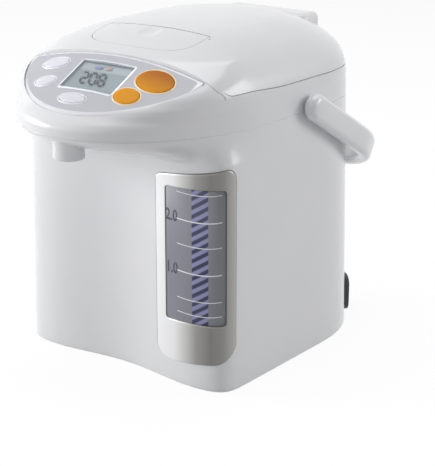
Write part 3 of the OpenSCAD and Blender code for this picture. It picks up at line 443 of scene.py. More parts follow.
def loft(name, rings, material=None, joined=False):
    """A solid through rings of as many points each; its ends are closed, or joined to each other."""
    n, m = len(rings[0]), len(rings)
    faces = [(k * n + i, k * n + (i + 1) % n, (k + 1) % m * n + (i + 1) % n, (k + 1) % m * n + i)
             for k in range(m if joined else m - 1) for i in range(n)]
    if not joined:
        faces += [tuple(range(n)), tuple(range((m - 1) * n, m * n))]
    return solid(name, np.vstack([np.asarray(r, float) for r in rings]), faces, material)


def prism(outline, low, high):
    """An upright prism over an outline, between two heights."""
    return loft("tool", [[(x, y, z) for x, y in outline] for z in (low, high)])


def oval(a, b, n=72, centre=(0, 0)):
    return [(centre[0] + a * math.cos(2 * math.pi * k / n), centre[1] + b * math.sin(2 * math.pi * k / n))
            for k in range(n)]


def circle(radius, n=48, centre=(0, 0)):
    return oval(radius, radius, n, centre)


def block(low, high):
    """A box between two corners."""
    (x0, y0, z0), (x1, y1, z1) = low, high
    return prism([(x0, y0), (x1, y0), (x1, y1), (x0, y1)], z0, z1)


def moved(piece, matrix):
    """Moves a tool's mesh; the matrix is in millimetres."""
    matrix = matrix.copy()
    matrix.translation = matrix.translation * MM
    piece.data.transform(matrix)
    return piece


def along_x(radius, x0, x1, y, z, n=40):
    """A rod across the pot."""
    across = Matrix.Translation((0, y, z)) @ Matrix.Rotation(math.pi / 2, 4, "Y")
    return moved(prism(circle(radius, n), x0, x1), across)


def carve(piece, *tools, how="DIFFERENCE"):
    """Cuts each tool out of a piece, joins it on, or keeps what both share."""
    for tool in tools:
        modifier = piece.modifiers.new("carve", "BOOLEAN")
        modifier.operation, modifier.solver, modifier.object = how, "MANIFOLD", tool
        made = applied(piece)
        piece.modifiers.clear()
        piece.data = made
        bpy.data.objects.remove(tool)
    return piece


def shaded(piece, sharp=38, material=None):
    """Smooth shading that keeps edges above an angle sharp."""
    if material:
        piece.data.materials.clear()
        piece.data.materials.append(material)
    for polygon in piece.data.polygons:
        polygon.material_index = 0
    piece.data.shade_smooth()
    piece.data.set_sharp_from_angle(angle=math.radians(sharp))
    return piece


def lean(z):
    """How far the wall leans in at a height."""
    return lean_total * z / rim_z


def body_row(z, grow=0.0):
    """The body's level at a height, or one that much outside it."""
    return [z, foot_hw - lean(z) + grow, -foot_hd + lean(z) - grow, foot_hd - lean(z) + grow,
            body_square, rear_square, front_mid, front_hollow, 0]


def with_groove(rows, wide=0.5, deep=0.5):
    """Draws the last level in, which leaves half of the groove along the parting line."""
    last = rows[-1]
    share = wide / abs(last[Z] - rows[-2][Z])
    shoulder = last + (rows[-2] - last) * share
    edge = shoulder.copy()
    edge[Z] = last[Z]
    edge[[HALF, FRONT, REAR]] += (-deep, deep, -deep)
    return np.vstack([rows[:-1], [shoulder, edge]])


# The skirt hides the feet but for a slit and has a rounded edge, the walls are straight, and the flare
# is a soft S
skirt_z, skirt_h, skirt_roll, flare_z = 0.3, 4.0, 1.2, 198.0
edge_rows = [body_row(skirt_z + h, -skirt_roll * ((skirt_h - h) / skirt_h) ** 2.8)
             for h in (0, 0.5, 1.1, 2, 3)]
wall_rows = [body_row(z) for z in np.linspace(10, flare_z, 17)]
flare_front = foot_hd - lean(flare_z)
# Shares of the flare's height, and of its run to the front
flare_steps = [(0, 0), (0.08, 0.06), (0.18, 0.2), (0.28, 0.37), (0.41, 0.56), (0.55, 0.73), (0.7, 0.86),
               (0.85, 0.955), (1, 1)]
flare_rows = []
for rise, run in flare_steps:
    z = flare_z + rise * (rim_z - flare_z)
    front_y = -flare_front - run * (beak_reach - flare_front)
    flare_rows.append([z, foot_hw - lean(z), front_y, foot_hd - lean(z), 2, rear_square, front_mid,
                       front_hollow * (1 - run), run])
body_rows = np.vstack([edge_rows, wall_rows, smooth_rows(flare_rows, 1.3)[1:]])
body_shell = casing("body_shell", with_groove(body_rows))
carve(body_shell, casing("tool", inset_rows(body_rows, wall, below=5, above=5), 90))


def rounded_outline(width, height, radii, corner=8, side=24):
    """A rounded rectangle about its middle; it has as many points for every size."""
    points = []
    radii = radii if isinstance(radii, tuple) else (radii,) * 4
    for k, (sx, sy) in enumerate(((1, 1), (-1, 1), (-1, -1), (1, -1))):
        radius, after = radii[k], radii[(k + 1) % 4]
        cx, cy = sx * (width / 2 - radius), sy * (height / 2 - radius)
        arc = [(cx + radius * math.cos(math.radians(90 * (k + i / corner))),
                cy + radius * math.sin(math.radians(90 * (k + i / corner)))) for i in range(corner + 1)]
        nx, ny = ((-1, 1), (-1, -1), (1, -1), (1, 1))[k]
        end = (nx * (width / 2 - (0 if k % 2 else after)), ny * (height / 2 - (after if k % 2 else 0)))
        start, run = np.array(arc[-1]), np.array(end) - arc[-1]
        points += arc + [tuple(start + run * i / side) for i in range(1, side)]
    return points


window_az, window_u = math.radians(38), -6.5
window_w, window_z0, window_z1, window_radii = 68.0, 22.0, 192.0, (9, 5, 14, 18)
window_mid, window_climb, hole_inset = (window_z0 + window_z1) / 2, 0.07, 4


def window_lean(u, z):
    """How far the window's lines climb towards the right, most of all along its top edge."""
    top = np.clip((z - 72) / 12, 0, 1) * (0.13 * u + 0.5)
    bottom = np.clip((-z - 60) / 20, 0, 1) * (0.07 * u + 1.4)
    return window_climb * u + top + bottom


def turned_out(angle, x, z, turn, axis):
    """A place beside or before the pot, turned about its middle."""
    return Matrix.Rotation(angle, 4, "Z") @ Matrix.Translation((x, 0, z)) @ Matrix.Rotation(turn, 4, axis)


hole = rounded_outline(window_w - 2 * hole_inset, window_z1 - window_z0 - 2 * hole_inset,
                       tuple(r - hole_inset for r in window_radii), side=26)
hole = prism([(x, z + window_lean(x, z)) for x, z in hole], 60, 170)
carve(body_shell, moved(hole, turned_out(window_az, window_u, window_mid, math.pi / 2, "X")))
inlet_az, inlet_x, inlet_z = math.radians(52), 138, 24
inlet_hole = prism(rounded_outline(28, 26, 6), -30, 20)
carve(body_shell, moved(inlet_hole, turned_out(inlet_az, inlet_x, inlet_z, math.pi / 2, "Y")))
nozzle_y, nozzle_z, nozzle_d = -180.0, 205.0, 27.0
carve(body_shell, prism(circle(nozzle_d / 2 + 0.3, 64, (0, nozzle_y)), nozzle_z - 4, nozzle_z + 18))
pivot_y, pivot_z, pivot_d, past_side = 5.0, rim_z + 3.5, 8.0, 130
carve(body_shell, along_x(pivot_d / 2 + 1, -past_side, past_side, pivot_y, pivot_z, 48))
shaded(body_shell, material=abs_white)
mount(body_shell, "pot", "body_shell")

# ---- Corner window --------------------------------------------------------------------------
# A bezel of silver-painted ABS wraps the front corner and stands proud of the wall. A smoked acrylic
# pane is bonded flush into it, tinted from behind but for the strip that shows the gauge.
skin = 1.2
silver_paint = new_material("satin_silver_paint", Base_Color="#b4b3b2", Metallic=0.55, Roughness=0.3)
tree, shader, place = inside(silver_paint)
wall_axis = (math.cos(window_az), math.sin(window_az), 0)


def share_along(tree, place, axis, start, end):
    """Runs from 0 to 1 between two places in millimetres along an axis."""
    along = add(tree, "VectorMath", [place, axis], operation="DOT_PRODUCT")
    return add(tree, "MapRange", {"Value": along, "From Min": start * MM, "From Max": end * MM})


# Painted reflection: round the corner the colour goes from bright to dark and part of the way back
painted_reflection_ramp = add(tree, "ValToRGB", {"Fac": share_along(tree, place, wall_axis, -41, 28)})
tones = painted_reflection_ramp.color_ramp.elements
for at, tone in ((0.22, "#e6e6e6"), (0.38, "#bdbdbc"), (0.5, "#949392"), (0.68, "#7a7976"),
                 (0.84, "#8c8b88")):
    tones.new(at).color = linear(tone)
tones[0].color, tones[-1].color = linear("#f2f2f4"), linear("#adacaa")
feed(tree, shader, {"Base Color": painted_reflection_ramp})
# Spray paint with aluminium flake: grains of about 0.3 mm tilt apart and give a faint sparkle
mottle(silver_paint, 0.3, 2, gloss=(0.24, 0.4), lift=(0.12, 0.02))


def wall_points(points):
    """Points as (along the window, height, out of the wall), laid on the casing's wall."""
    made = []
    cosine, sine, _ = wall_axis
    angles = np.radians(np.linspace(262, 360, 180))
    rings = {}
    for u, z, out in points:
        key = (round(z, 3), round(out, 3))
        if key not in rings:
            row = body_row(z, out)
            half, length = row[HALF], foot_hd - foot_hw + row[HALF] + front_mid
            across, along = np.abs(np.cos(angles)) / half, np.abs(np.sin(angles)) / length
            r = (across ** body_square + along ** body_square) ** (-1 / body_square)
            x, y = r * np.cos(angles), front_mid + r * np.sin(angles)
            dip = np.clip(np.abs(x) / (0.75 * half), 0, 1)
            y = y + front_hollow * np.cos(math.pi / 2 * dip) ** 2
            x, y = np.append(x, half), np.append(y, rear_mid)
            rings[key] = (x * cosine + y * sine, -x * sine + y * cosine)
        v = float(np.interp(u, *rings[key]))
        made.append((u * cosine - v * sine, u * sine + v * cosine, z))
    return made


def wall_loop(width, low, high, radii, out):
    """A rounded outline on the wall that leans as the window does."""
    outline = rounded_outline(width, high - low, radii, corner=8, side=26)
    middle = (low + high) / 2
    return wall_points([(window_u + x, middle + z + window_lean(x, z + middle - window_mid), out)
                        for x, z in outline])


def bezel_loop(inset, out):
    """The bezel's outline drawn in, and out of the wall."""
    radii = tuple(r - inset for r in window_radii)
    return wall_loop(window_w - 2 * inset, window_z0 + inset, window_z1 - inset, radii, out)


pane_w, pane_z0, pane_z1, pane_radius, bezel_back = window_w - 16, window_z0 + 38, window_z1 - 13, 3, -2.9
loops = [bezel_loop(inset, out) for inset, out in (
    (4.5, 0.05), (0.3, 0.05), (0, 0.3), (0, 0.75), (0.25, 1.05), (0.7, skin), (2, skin))]
loops += [wall_loop(pane_w + 2 * d, pane_z0 - d, pane_z1 + d, pane_radius + d, out)
          for d, out in ((2, skin), (0.5, skin), (0.15, 1.05), (0, 0.7), (0, bezel_back))]
loops.append(bezel_loop(4.5, bezel_back))
window_frame = shaded(loft("window_frame", loops, silver_paint, joined=True), 50)
mount(window_frame, "pot", "window_frame")
# A bead of sealant closes the joint between the bezel and the wall
sealant = new_material("grey_sealant", Base_Color="#77787b", Roughness=0.6, IOR=1.43)
mottle(sealant, 2, 2, ("#6b6c70", "#828387"))
loops = [bezel_loop(inset, out) for inset, out in ((0.15, -0.3), (0.15, 0.2), (-0.35, 0.14), (-0.4, -0.3))]
window_seal = shaded(loft("window_seal", loops, sealant, joined=True), 50)
mount(window_seal, "pot")

gauge_u, gauge_half = -2.9, 6.9
smoked_acrylic = new_material("smoked_acrylic", Base_Color="#7e7c87", Roughness=0.34, IOR=1.49)
tree, shader, place = inside(smoked_acrylic)
# Painted shade: the tint is lighter and bluer on the left of the pane and darker and greyer on the right,
# with a faint cloud
painted_shade_across = share_along(tree, place, wall_axis, -30, 20)
cloud = add(tree, "TexNoise", {"Vector": place, "Scale": 1 / (12 * MM), "Detail": 2.0})
painted_shade_across = add(tree, "Mix", {"Factor": 0.2, 2: painted_shade_across, 3: cloud})
tint = two_tones(smoked_acrylic, painted_shade_across, "#8c8b98", "#7f8386")
# The grey print behind the acrylic stops at a clear strip. The water's stripes stand in it: one light
# and one dark are 7.8 mm together, and climb to the right
stripe_pitch, stripe_climb = 7.8, 0.72
rise = (-stripe_climb * wall_axis[0], -stripe_climb * wall_axis[1], 1)
rise = add(tree, "VectorMath", [place, rise], operation="DOT_PRODUCT")
wave = add(tree, "Math", [rise, 2 * math.pi / (stripe_pitch * MM)], operation="MULTIPLY")
wave = add(tree, "Math", [wave], operation="SINE")
wave = add(tree, "MapRange", {"Value": wave, "From Min": -0.6, "From Max": 0.6},
           interpolation_type="SMOOTHSTEP")
stripes = add(tree, "Mix", {"Factor": wave, 6: "#23264f", 7: "#8f91b8"}, data_type="RGBA")
off = add(tree, "VectorMath", [place, wall_axis], operation="DOT_PRODUCT")
off = add(tree, "Math", [off, gauge_u * MM], operation="SUBTRACT")
off = add(tree, "Math", [off], operation="ABSOLUTE")
clear = add(tree, "MapRange", {
    "Value": off, "From Min": (gauge_half - 0.2) * MM, "From Max": (gauge_half + 0.3) * MM,
    "To Min": 1.0, "To Max": 0.0})
two_tones(smoked_acrylic, clear, tint, stripes)

pane_fit, pane_back, pane_side, pane_face, pane_edge = 0.15, -1.9, 0.15, 0.4, 0.35
rings = []
for x in np.linspace(-1, 1, 61):
    x = math.sin(x * math.pi / 2) * (pane_w / 2 - pane_fit)
    past = min(max(abs(x) - (pane_w / 2 - pane_fit - pane_radius), 0), pane_radius)
    cut = pane_fit + pane_radius - math.sqrt(pane_radius ** 2 - past * past)
    low, high = pane_z0 + cut + window_climb * x, pane_z1 - cut + window_climb * x
    rings.append(wall_points([(window_u + x, z, out) for z, out in (
        (low, pane_back), (low, pane_side), (low + pane_edge, pane_face), (high - pane_edge, pane_face),
        (high, pane_side), (high, pane_back))]))
window_pane = shaded(loft("window_pane", rings, smoked_acrylic), 50)
mount(window_pane, "pot", "window_pane")

# ---- Level marks ----------------------------------------------------------------------------
# White lines and plain numbers are printed on the pane. Screen ink lies as a thin film, matt beside
# the acrylic's gloss.
# Wear breaks both inks up a little
white_ink = new_material("white_screen_ink", Base_Color="#e8e8ee", Roughness=0.5, IOR=1.5)
mottle(white_ink, 3, 3, ("#dfdfe8", "#f2f2f6"))
grey_ink = new_material("grey_screen_ink", Base_Color="#3a3844", Roughness=0.5, IOR=1.5)
mottle(grey_ink, 3, 3, ("#34323e", "#44424e"))
line_left, line_right, line_sag, ink_low, ink_high = -22.5, 15.7, 0.004, 0.38, 0.47
level_lines = ((174, 0.35), (150.5, 0.5), (128.5, 0.35), (104.5, 0.5), (80.5, 0.35), (67.5, 0.35))
for k, (z, half) in enumerate(level_lines):
    rings = []
    for u in np.linspace(line_left, line_right, 40):
        at = z + window_climb * (u - window_u) + line_sag * (u + 3) ** 2
        rings.append(wall_points([(u, at - half, ink_low), (u, at + half, ink_low), (u, at + half, ink_high),
                                  (u, at - half, ink_high)]))
    line = shaded(loft(f"level_line_{k + 1}", rings, white_ink), 50)
    mount(line, "pot")


def number(name, text, size, depth):
    """Plain figures as a flat mesh in millimetres about their middle, in X and Y."""
    curve = bpy.data.curves.new(name, "FONT")
    curve.body, curve.size, curve.align_x, curve.align_y = text, size, "CENTER", "CENTER"
    curve.extrude, curve.offset, curve.resolution_u = depth / 2, 0.025 * size, 3
    piece = placed(name, curve)
    mesh = applied(piece)
    bpy.data.objects.remove(piece)
    return mesh


for text, z in (("2.0", 152.0), ("1.0", 105.5)):
    name = "level_number_" + text.replace(".", "_")
    mesh = number(name, text, 14, 0.08)
    flat = [(window_u - 20.5 + 0.6 * v.co.x, z + v.co.y, 0.43 + v.co.z) for v in mesh.vertices]
    figures = solid(name, wall_points(flat), [tuple(p.vertices) for p in mesh.polygons], grey_ink)
    shaded(figures, 50)
    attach(figures, "pot")

# ---- Gauge ----------------------------------------------------------------------------------
# The water stands in a clear tube between two silicone sockets, in front of slanted stripes. The
# tube is extruded acrylic, glossy, with the stripes' light and dark in it.
striped_tube = new_material("striped_gauge_tube", Base_Color="#8f91b6", Roughness=0.12, IOR=1.49,
                            Coat_Weight=0.6)
tree, shader, place = inside(striped_tube)
bands = add(tree, "TexWave", {
    "Vector": place, "Scale": 2 * math.pi / (20 * stripe_pitch * MM), "Distortion": 0.4},
    wave_type="BANDS", bands_direction="Z")
two_tones(striped_tube, bands.outputs["Fac"], "#2a2c52", "#9798bb")
finish(striped_tube, "gauge_tube")

# Moulded silicone lets some light in, and dust clings to it in faint spots
silicone = new_material("moulded_silicone", Base_Color="#c9c8c4", Roughness=0.55, IOR=1.43,
                        Subsurface_Weight=0.2, Subsurface_Scale=1.5 * MM)
mottle(silicone, 2, 3, ("#c1c0bb", "#d2d1ce"), lift=(0.15, 0.05))
finish(silicone, "gauge_fittings", "pot_seal", "pump_inlet_seal", "lid_gasket")

# ---- Inner pot ------------------------------------------------------------------------------
# The pot is drawn from stainless sheet and turned, and hangs on four tabs. Polishing round it leaves
# fine rings, so that its light runs up and down. The pipes and the hinge bracket are of the same.
stainless = new_material("drawn_stainless_steel", Base_Color="#c4c3c0", Metallic=1.0, Roughness=0.26)
mottle(stainless, (50, 50, 0.8), 4, gloss=(0.2, 0.36), lift=(0.1, 0.03))
finish(stainless, "inner_pot", "spout_tube", "riser_pipe", "hinge_bracket", "lid_inner")

# ---- Heater and insulation ------------------------------------------------------------------
# Glass-felt round the pot keeps it warm. A die-cast aluminium ring heats it from below, with the
# thermistor pressed to its middle.
# Needled felt is matt, of glass fibres that lie up and down, with painted shade in the hollows between them
felt = new_material("needled_glass_felt", Base_Color="#d8d5cc", Roughness=0.95, IOR=1.45, Sheen_Weight=0.4)
mottle(felt, (1.2, 1.2, 4), 6, ("#bdb9ac", "#ebe9e2"), lift=(0.7, 0.6))
finish(felt, "heat_jacket")
# Die casting leaves flow marks of a few millimetres on a dull grey skin
aluminium = new_material("die_cast_aluminium", Base_Color="#b9babc", Metallic=1.0, Roughness=0.45)
mottle(aluminium, 4, 5, gloss=(0.36, 0.6), lift=(0.3, 0.15))
finish(aluminium, "heater_plate", "thermistor")

# ---- Pump -----------------------------------------------------------------------------------
# A small motor in a drawn and plated steel can, seated in the base plate, turns an impeller in a
# housing of the same polypropylene, which is welded round it.
finish(polypropylene, "pump_housing", "impeller")
finish(zinc, "pump_motor")

# ---- Boards and switches --------------------------------------------------------------------
# Both boards are glass-epoxy laminate under green lacquer, with copper tracks that show through it.
# The switches, the inlet and the display's frame are black mouldings, and the contacts turned brass.
laminate = new_material("green_lacquered_laminate", Base_Color="#1f5a3a", Roughness=0.35, IOR=1.55)
tree, shader, place = inside(laminate)
tracks = add(tree, "TexBrick", {
    "Vector": place, "Color1": "#2b7049", "Color2": "#256541", "Mortar": "#174a2e",
    "Scale": 1.0, "Mortar Size": 0.35 * MM, "Brick Width": 7 * MM, "Row Height": 1.8 * MM}, offset=0.3)
bump = add(tree, "Bump", {"Strength": 0.2, "Distance": 0.05 * MM, "Height": tracks.outputs[1]})
feed(tree, shader, {"Base Color": tracks, "Normal": bump})
finish(laminate, "control_board", "power_board")
# Black ABS comes from its mould with a fine satin grain
black_abs = new_material("black_moulded_abs", Base_Color="#222225", Roughness=0.4, IOR=1.53)
mottle(black_abs, 0.5, 3, ("#1c1c1f", "#2b2b2e"), lift=(0.3, 0.05))
finish(black_abs, "tact_switches", "power_inlet", "lcd_module")
# Turning leaves the brass bright, with rings too fine to see but in its gloss
brass = new_material("turned_brass", Base_Color="#c9a654", Metallic=1.0, Roughness=0.25)
mottle(brass, 0.4, 2, gloss=(0.18, 0.34))
finish(brass, "inlet_contacts")

# ---- Top cover ------------------------------------------------------------------------------
# The cover carries the beak, the panel's seat and the deck round the pot's mouth. It is moulded of the
# body's ABS and clips on it at the parting line, and the lid closes into its upper side.
crown_h = top_z - rim_z
panel_tilt, panel_half_w, panel_depth, panel_t, panel_droop = math.radians(28), 94.0, 70.0, 2.0, 0.0012
panel_y, panel_z = -beak_reach + 56, rim_z + 0.547 * crown_h
panel_rear = panel_y + 27
lid_gap = 0.6


def panel_surf(x, y):
    """The height of the panel's slope, which droops towards its sides."""
    return panel_z + (y - panel_y) * math.tan(panel_tilt) - panel_droop * x * x


def panel_back(x):
    """The panel's rear edge, nearly straight."""
    return panel_rear - 2.2 * (x / panel_half_w) ** 2


def panel_front(x):
    """The panel's front edge, which bows forwards and meets the rear one at both tips."""
    return panel_rear - panel_depth + (panel_depth - 6.5) * (1 - max(1 - (x / panel_half_w) ** 2, 0) ** 0.72)


# Each step has its share of the crown's height, how far its side, front and rear are drawn in, how
# square it is in front and behind, and where its front half starts. With None its front lies on the
# panel's slope.
crown_steps = [
    (0, 0, 0, 0, 2, 2.9, -60), (0.093, 0.1, 0, 0.1, 2, 2.9, -60), (0.16, 0.3, 4, 0.3, 2.1, 2.9, -60),
    (0.213, 0.5, 11, 0.5, 2.2, 2.9, -60), (0.253, 0.6, 16, 0.7, 2.4, 2.9, -60),
    (0.307, 0.8, None, 1, 2.7, 2.9, -60), (0.373, 1.2, None, 1.5, 3, 2.9, -60),
    (0.44, 2.1, None, 2.5, 3.3, 2.9, -60), (0.507, 3.7, None, 4, 3.4, 2.9, -60),
    (0.573, 6.3, None, 6.2, 3.4, 2.9, -60), (0.64, 9.7, None, 9, 3.2, 2.9, -60),
    (0.707, 14.2, None, 13, 3, 2.8, -60), (0.74, 17, None, 15.4, 2.95, 2.75, -56),
    (0.773, 20, 90, 18, 2.8, 2.7, -50), (0.84, 28.5, 105, 24.5, 2.5, 2.5, -40),
    (0.907, 41.5, 123, 34, 2.3, 2.4, -30), (0.96, 59, 145, 47, 2.2, 2.2, -10),
    (0.99, 83.5, 173, 68, 2, 2, 5), (1, 108, 199, 92, 2, 2, 12)]
crown_rows = []
for rise, side_in, front_in, rear_in, square, square_rear, middle in crown_steps:
    z = rim_z + rise * crown_h
    front_y = panel_y + (z - panel_z) / math.tan(panel_tilt) if front_in is None else front_in - beak_reach
    crown_rows.append([z, rim_hw - side_in, front_y, rim_hd - rear_in, square, square_rear, middle, 0, 1])
crown_at = [row[Z] for row in crown_rows]
crown_rows = smooth_rows(crown_rows, 2.2)


def crown_part(first, last):
    """The crown's levels between two of its steps."""
    low, high = crown_at[first] - 1e-6, crown_at[last] + 1e-6
    return crown_rows[(crown_rows[:, Z] >= low) & (crown_rows[:, Z] <= high)]


climb_y, climb_run, climb_h, corner_y, corner_r = -28, 60, 3.0, -100, 12
tip_turn = [(2.5, 0.8), (5, 1.2), (8.5, 2.4), (11.5, 4.6), (13.5, 7.5), (15, 12), (17, 23), (20, 36)]


def smooth_line(points, n):
    """A rounder line through the same points."""
    points = np.array(points, float)
    t = np.concatenate([[0], np.cumsum(np.linalg.norm(np.diff(points, axis=0), axis=1))])
    made = []
    for s in np.linspace(0, t[-1], n):
        k = min(int(np.searchsorted(t, s, side="right")) - 1, len(t) - 2)
        f = (s - t[k]) / (t[k + 1] - t[k])
        p0, p3 = points[max(k - 1, 0)], points[min(k + 2, len(points) - 1)]
        p1, p2 = points[k], points[k + 1]
        made.append(0.5 * (2 * p1 + (p2 - p0) * f + (2 * p0 - 5 * p1 + 4 * p2 - p3) * f * f
                           + (3 * p1 - p0 - 3 * p2 + p3) * f**3))
    return [tuple(p) for p in made]


def lid_zone(grow, down):
    """Everything of the crown that belongs to the lid, with the lid's edge moved out by grow."""
    back = [(x, panel_back(x) + lid_gap - grow) for x in np.linspace(-panel_half_w, panel_half_w, 71)]
    tip_y = panel_back(panel_half_w) + lid_gap
    turn = [(panel_half_w + x + 0.7 * grow, tip_y + y - 0.7 * grow) for x, y in tip_turn]
    turn = smooth_line([back[-1]] + turn, 30)[1:]
    end = tip_y + 36 - 0.7 * grow
    outline = back + turn + [(200, end), (200, 200), (-200, 200), (-200, end)]
    outline += [(-x, y) for x, y in reversed(turn)]
    zone = prism(outline, lid_z - down, lid_z - down + 100)
    # The lower edge climbs a little towards the front, and turns up into the slanted one
    rise = [(y, climb_h / 2 * (1 - math.cos(math.pi * min((climb_y - y) / climb_run, 1))))
            for y in np.linspace(climb_y, corner_y, 25)]
    rise += [(corner_y - corner_r * math.sin(a), climb_h + corner_r * (1 - math.cos(a)))
             for a in np.radians(np.linspace(6, 48, 8))]
    below = [(y, lid_z - down + z) for y, z in rise] + [(rise[-1][0], lid_z - 40), (climb_y, lid_z - 40)]
    upright = Matrix(((0, 0, 1), (1, 0, 0), (0, 1, 0))).to_4x4()
    return carve(zone, moved(prism(below, -220, 220), upright))


def lens(name, inset, low, high, chamfer=0.0):
    """The panel's lens between two depths under the crown's skin."""
    half = panel_half_w - 1.5 * inset
    rings = []
    for k in range(-60, 61):
        x = half * math.sin(math.radians(88 * k / 60)) / math.sin(math.radians(88))
        past = max(abs(x) / half * panel_half_w - panel_half_w + 2, 0) / 2
        turn = 1.9 * (1 - math.sqrt(max(1 - past * past, 0)))
        rear = panel_back(x) - inset - turn
        front = min(panel_front(x) + inset + turn, rear - 0.4)
        c = min(chamfer, 0.42 * (rear - front))
        ring = [(front, -low), (rear, -low)]
        if chamfer:
            ring += [(rear, high - 0.35 * c), (rear - 0.5 * c, high - 0.1 * c), (rear - c, high),
                     (front + c, high), (front + 0.5 * c, high - 0.1 * c), (front, high - 0.35 * c)]
        else:
            ring += [(rear, high), (front, high)]
        rings.append([(x, y, panel_surf(x, y) + h) for y, h in ring])
    return loft(name, rings)


ledge, latch_w, latch_t, latch_z = 1.6, 22.0, 4.0, lid_z + 6
mouth_r, mouth_h, seat_gap, seat_h = 86, 60, 0.5, 30
cover_rows = crown_part(0, 14)
top_cover = casing("top_cover", with_groove(cover_rows[::-1])[::-1])
carve(top_cover, lid_zone(lid_gap, lid_gap))
hollow = casing("tool", inset_rows(cover_rows, wall, below=6), 90)
carve(hollow, lid_zone(lid_gap + wall, lid_gap + wall), lens("tool", -1.5, 5, 0))
carve(top_cover, hollow, prism(circle(mouth_r, 120), rim_z, rim_z + mouth_h),
      lens("tool", -seat_gap, panel_t + 0.1, seat_h), lens("tool", ledge, 12, seat_h))
for x0, x1 in ((-past_side, -rim_hw + 20), (rim_hw - 20, past_side)):
    carve(top_cover, along_x(pivot_d / 2 + 1, x0, x1, pivot_y, pivot_z, 48))
carve(top_cover, block((-latch_w / 2 - 1, panel_rear - 8, latch_z - 1),
                       (latch_w / 2 + 1, panel_rear + 2, latch_z + latch_t + 1)))
# Slots for the bracket's ears, and each screw's hole with the recess of its head
axis_y, axis_z, knuckle_r, bracket_z, ear_x, ear_half = 112.0, 262.0, 6.0, 250.4, 30, 3.3
screw_hole_r, recess_r, recess_h = 1.7, 3.3, 1.3
for x in (-ear_x, ear_x):
    carve(top_cover, block((x - ear_half, axis_y - knuckle_r + 0.7, bracket_z),
                           (x + ear_half, axis_y + 3.8, axis_z)))
for spot in bracket_spots:
    carve(top_cover, prism(circle(screw_hole_r, 24, spot), rim_z, rim_z + mouth_h),
          prism(circle(recess_r, 32, spot), deck_z - recess_h, deck_z + 9))
shaded(top_cover, material=abs_white)
mount(top_cover, "pot", "top_cover")

# ---- Spout nozzle ---------------------------------------------------------------------------
# A plain funnel of the body's ABS under the beak, pressed on the end of the steel pipe. Its lip is
# rounded, and a collar holds it in the body's hole.


def lathe(name, profile, centre, material, n=64):
    """A turned piece from (radius, height) pairs that go round its section."""
    rings = [[(centre[0] + r * math.cos(a), centre[1] + r * math.sin(a), centre[2] + h) for r, h in profile]
             for a in np.linspace(0, 2 * math.pi, n, endpoint=False)]
    return loft(name, rings, material, joined=True)


outer, inner, pipe_r = nozzle_d / 2, nozzle_d / 2 - 2.5, 5.05
profile = [(outer - 1.2, 0), (outer - 0.5, 0.3), (outer - 0.1, 1.1), (outer, 2.2), (outer - 0.4, 7),
           (outer - 0.3, 12), (outer + 0.4, 16), (outer + 1.6, 19), (outer + 1.6, 21), (inner + 1, 21),
           (inner + 0.6, 12.7), (pipe_r, 12.7), (pipe_r, 7), (inner - 0.6, 7), (inner, 6.4), (inner, 0.8),
           (inner + 0.2, 0.2), (inner + 0.6, 0)]
spout_nozzle = shaded(lathe("spout_nozzle", profile, (0, nozzle_y, nozzle_z), abs_white), 50)
mount(spout_nozzle, "pot", "spout_nozzle")

# ---- Control panel --------------------------------------------------------------------------
# A thin almond of polycarbonate, printed behind with lavender pearl ink and bonded into its seat. Its
# edge is bevelled and catches the light. The display's window and the buttons' holes are cut in it.
pearl_film = new_material("pearl_printed_polycarbonate", Base_Color="#c9c9cf", Metallic=0.1, Roughness=0.5,
                          IOR=1.45)
tree, shader, place = inside(pearl_film)
pearl = mottle(pearl_film, 0.7, 3, lift=(0.06, 0.02))
drift = add(tree, "TexNoise", {"Vector": place, "Scale": 1 / (70 * MM), "Detail": 1.0})
two_tones(pearl_film, add(tree, "Mix", {"Factor": 0.6, 2: pearl, 3: drift}), "#b6b6bf", "#cbcbd1")
# Past the ink the clear edge shows the white seat below it
clear_edge = new_material("clear_polycarbonate_edge", Base_Color="#ececf0", Roughness=0.25, IOR=1.58,
                          Coat_Weight=0.3)
mottle(clear_edge, 9, 2, ("#e6e6ec", "#f3f3f6"))


def on_panel(x, y):
    """A frame on the panel's skin: its Z is the skin's normal."""
    return (Matrix.Translation((x, y, panel_surf(x, y))) @ Matrix.Rotation(panel_tilt, 4, "X")
            @ Matrix.Rotation(math.atan(2 * panel_droop * x * math.cos(panel_tilt)), 4, "Y"))


def panel_points(x, y, points):
    """Points beside and above a spot on the panel, laid on its curved skin."""
    made = []
    for p, q, h in points:
        px, py = x + p, y + q * math.cos(panel_tilt)
        made.append((px, py - h * math.sin(panel_tilt), panel_surf(px, py) + h * math.cos(panel_tilt)))
    return made


lcd_w, lcd_d, button_gap = 57.0, 36.0, 0.35
buttons = {  # place on the panel, half width and half depth
    "dispense": (56, 8.5, 18, 12.5), "unlock": (43.5, -13, 12, 9), "reboil": (-57, 11.5, 14, 7),
    "timer": (-49, -11, 10.5, 6), "temp": (-3.5, -27.5, 14, 5.5)}
control_panel = shaded(lens("control_panel", 0, panel_t, 0, chamfer=2.6), 12, clear_edge)
panel_print = shaded(lens("panel_print", 2.9, 0.4, 0.06), 12, pearl_film)
for piece in (control_panel, panel_print):
    carve(piece, moved(prism(rounded_outline(lcd_w, lcd_d, 1.2), -10, 10), on_panel(0, panel_y)))
    for x, y, a, b in buttons.values():
        carve(piece, moved(prism(oval(a + button_gap, b + button_gap), -8, 8), on_panel(x, panel_y + y)))
    shaded(piece, 12)
    mount(piece, "pot")
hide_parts("control_panel")

# ---- Display --------------------------------------------------------------------------------
# A liquid crystal cell lies under a clear acrylic glass. Its grey-blue ground reflects, its segments
# are dark, and a plated rim frames the glass.
# Polished acrylic all but vanishes, and wiping shows in its gloss
clear_acrylic = new_material("clear_acrylic", Base_Color="#dfe6ea", Roughness=0.06, IOR=1.49, Alpha=0.14)
mottle(clear_acrylic, 15, 3, gloss=(0.03, 0.1))


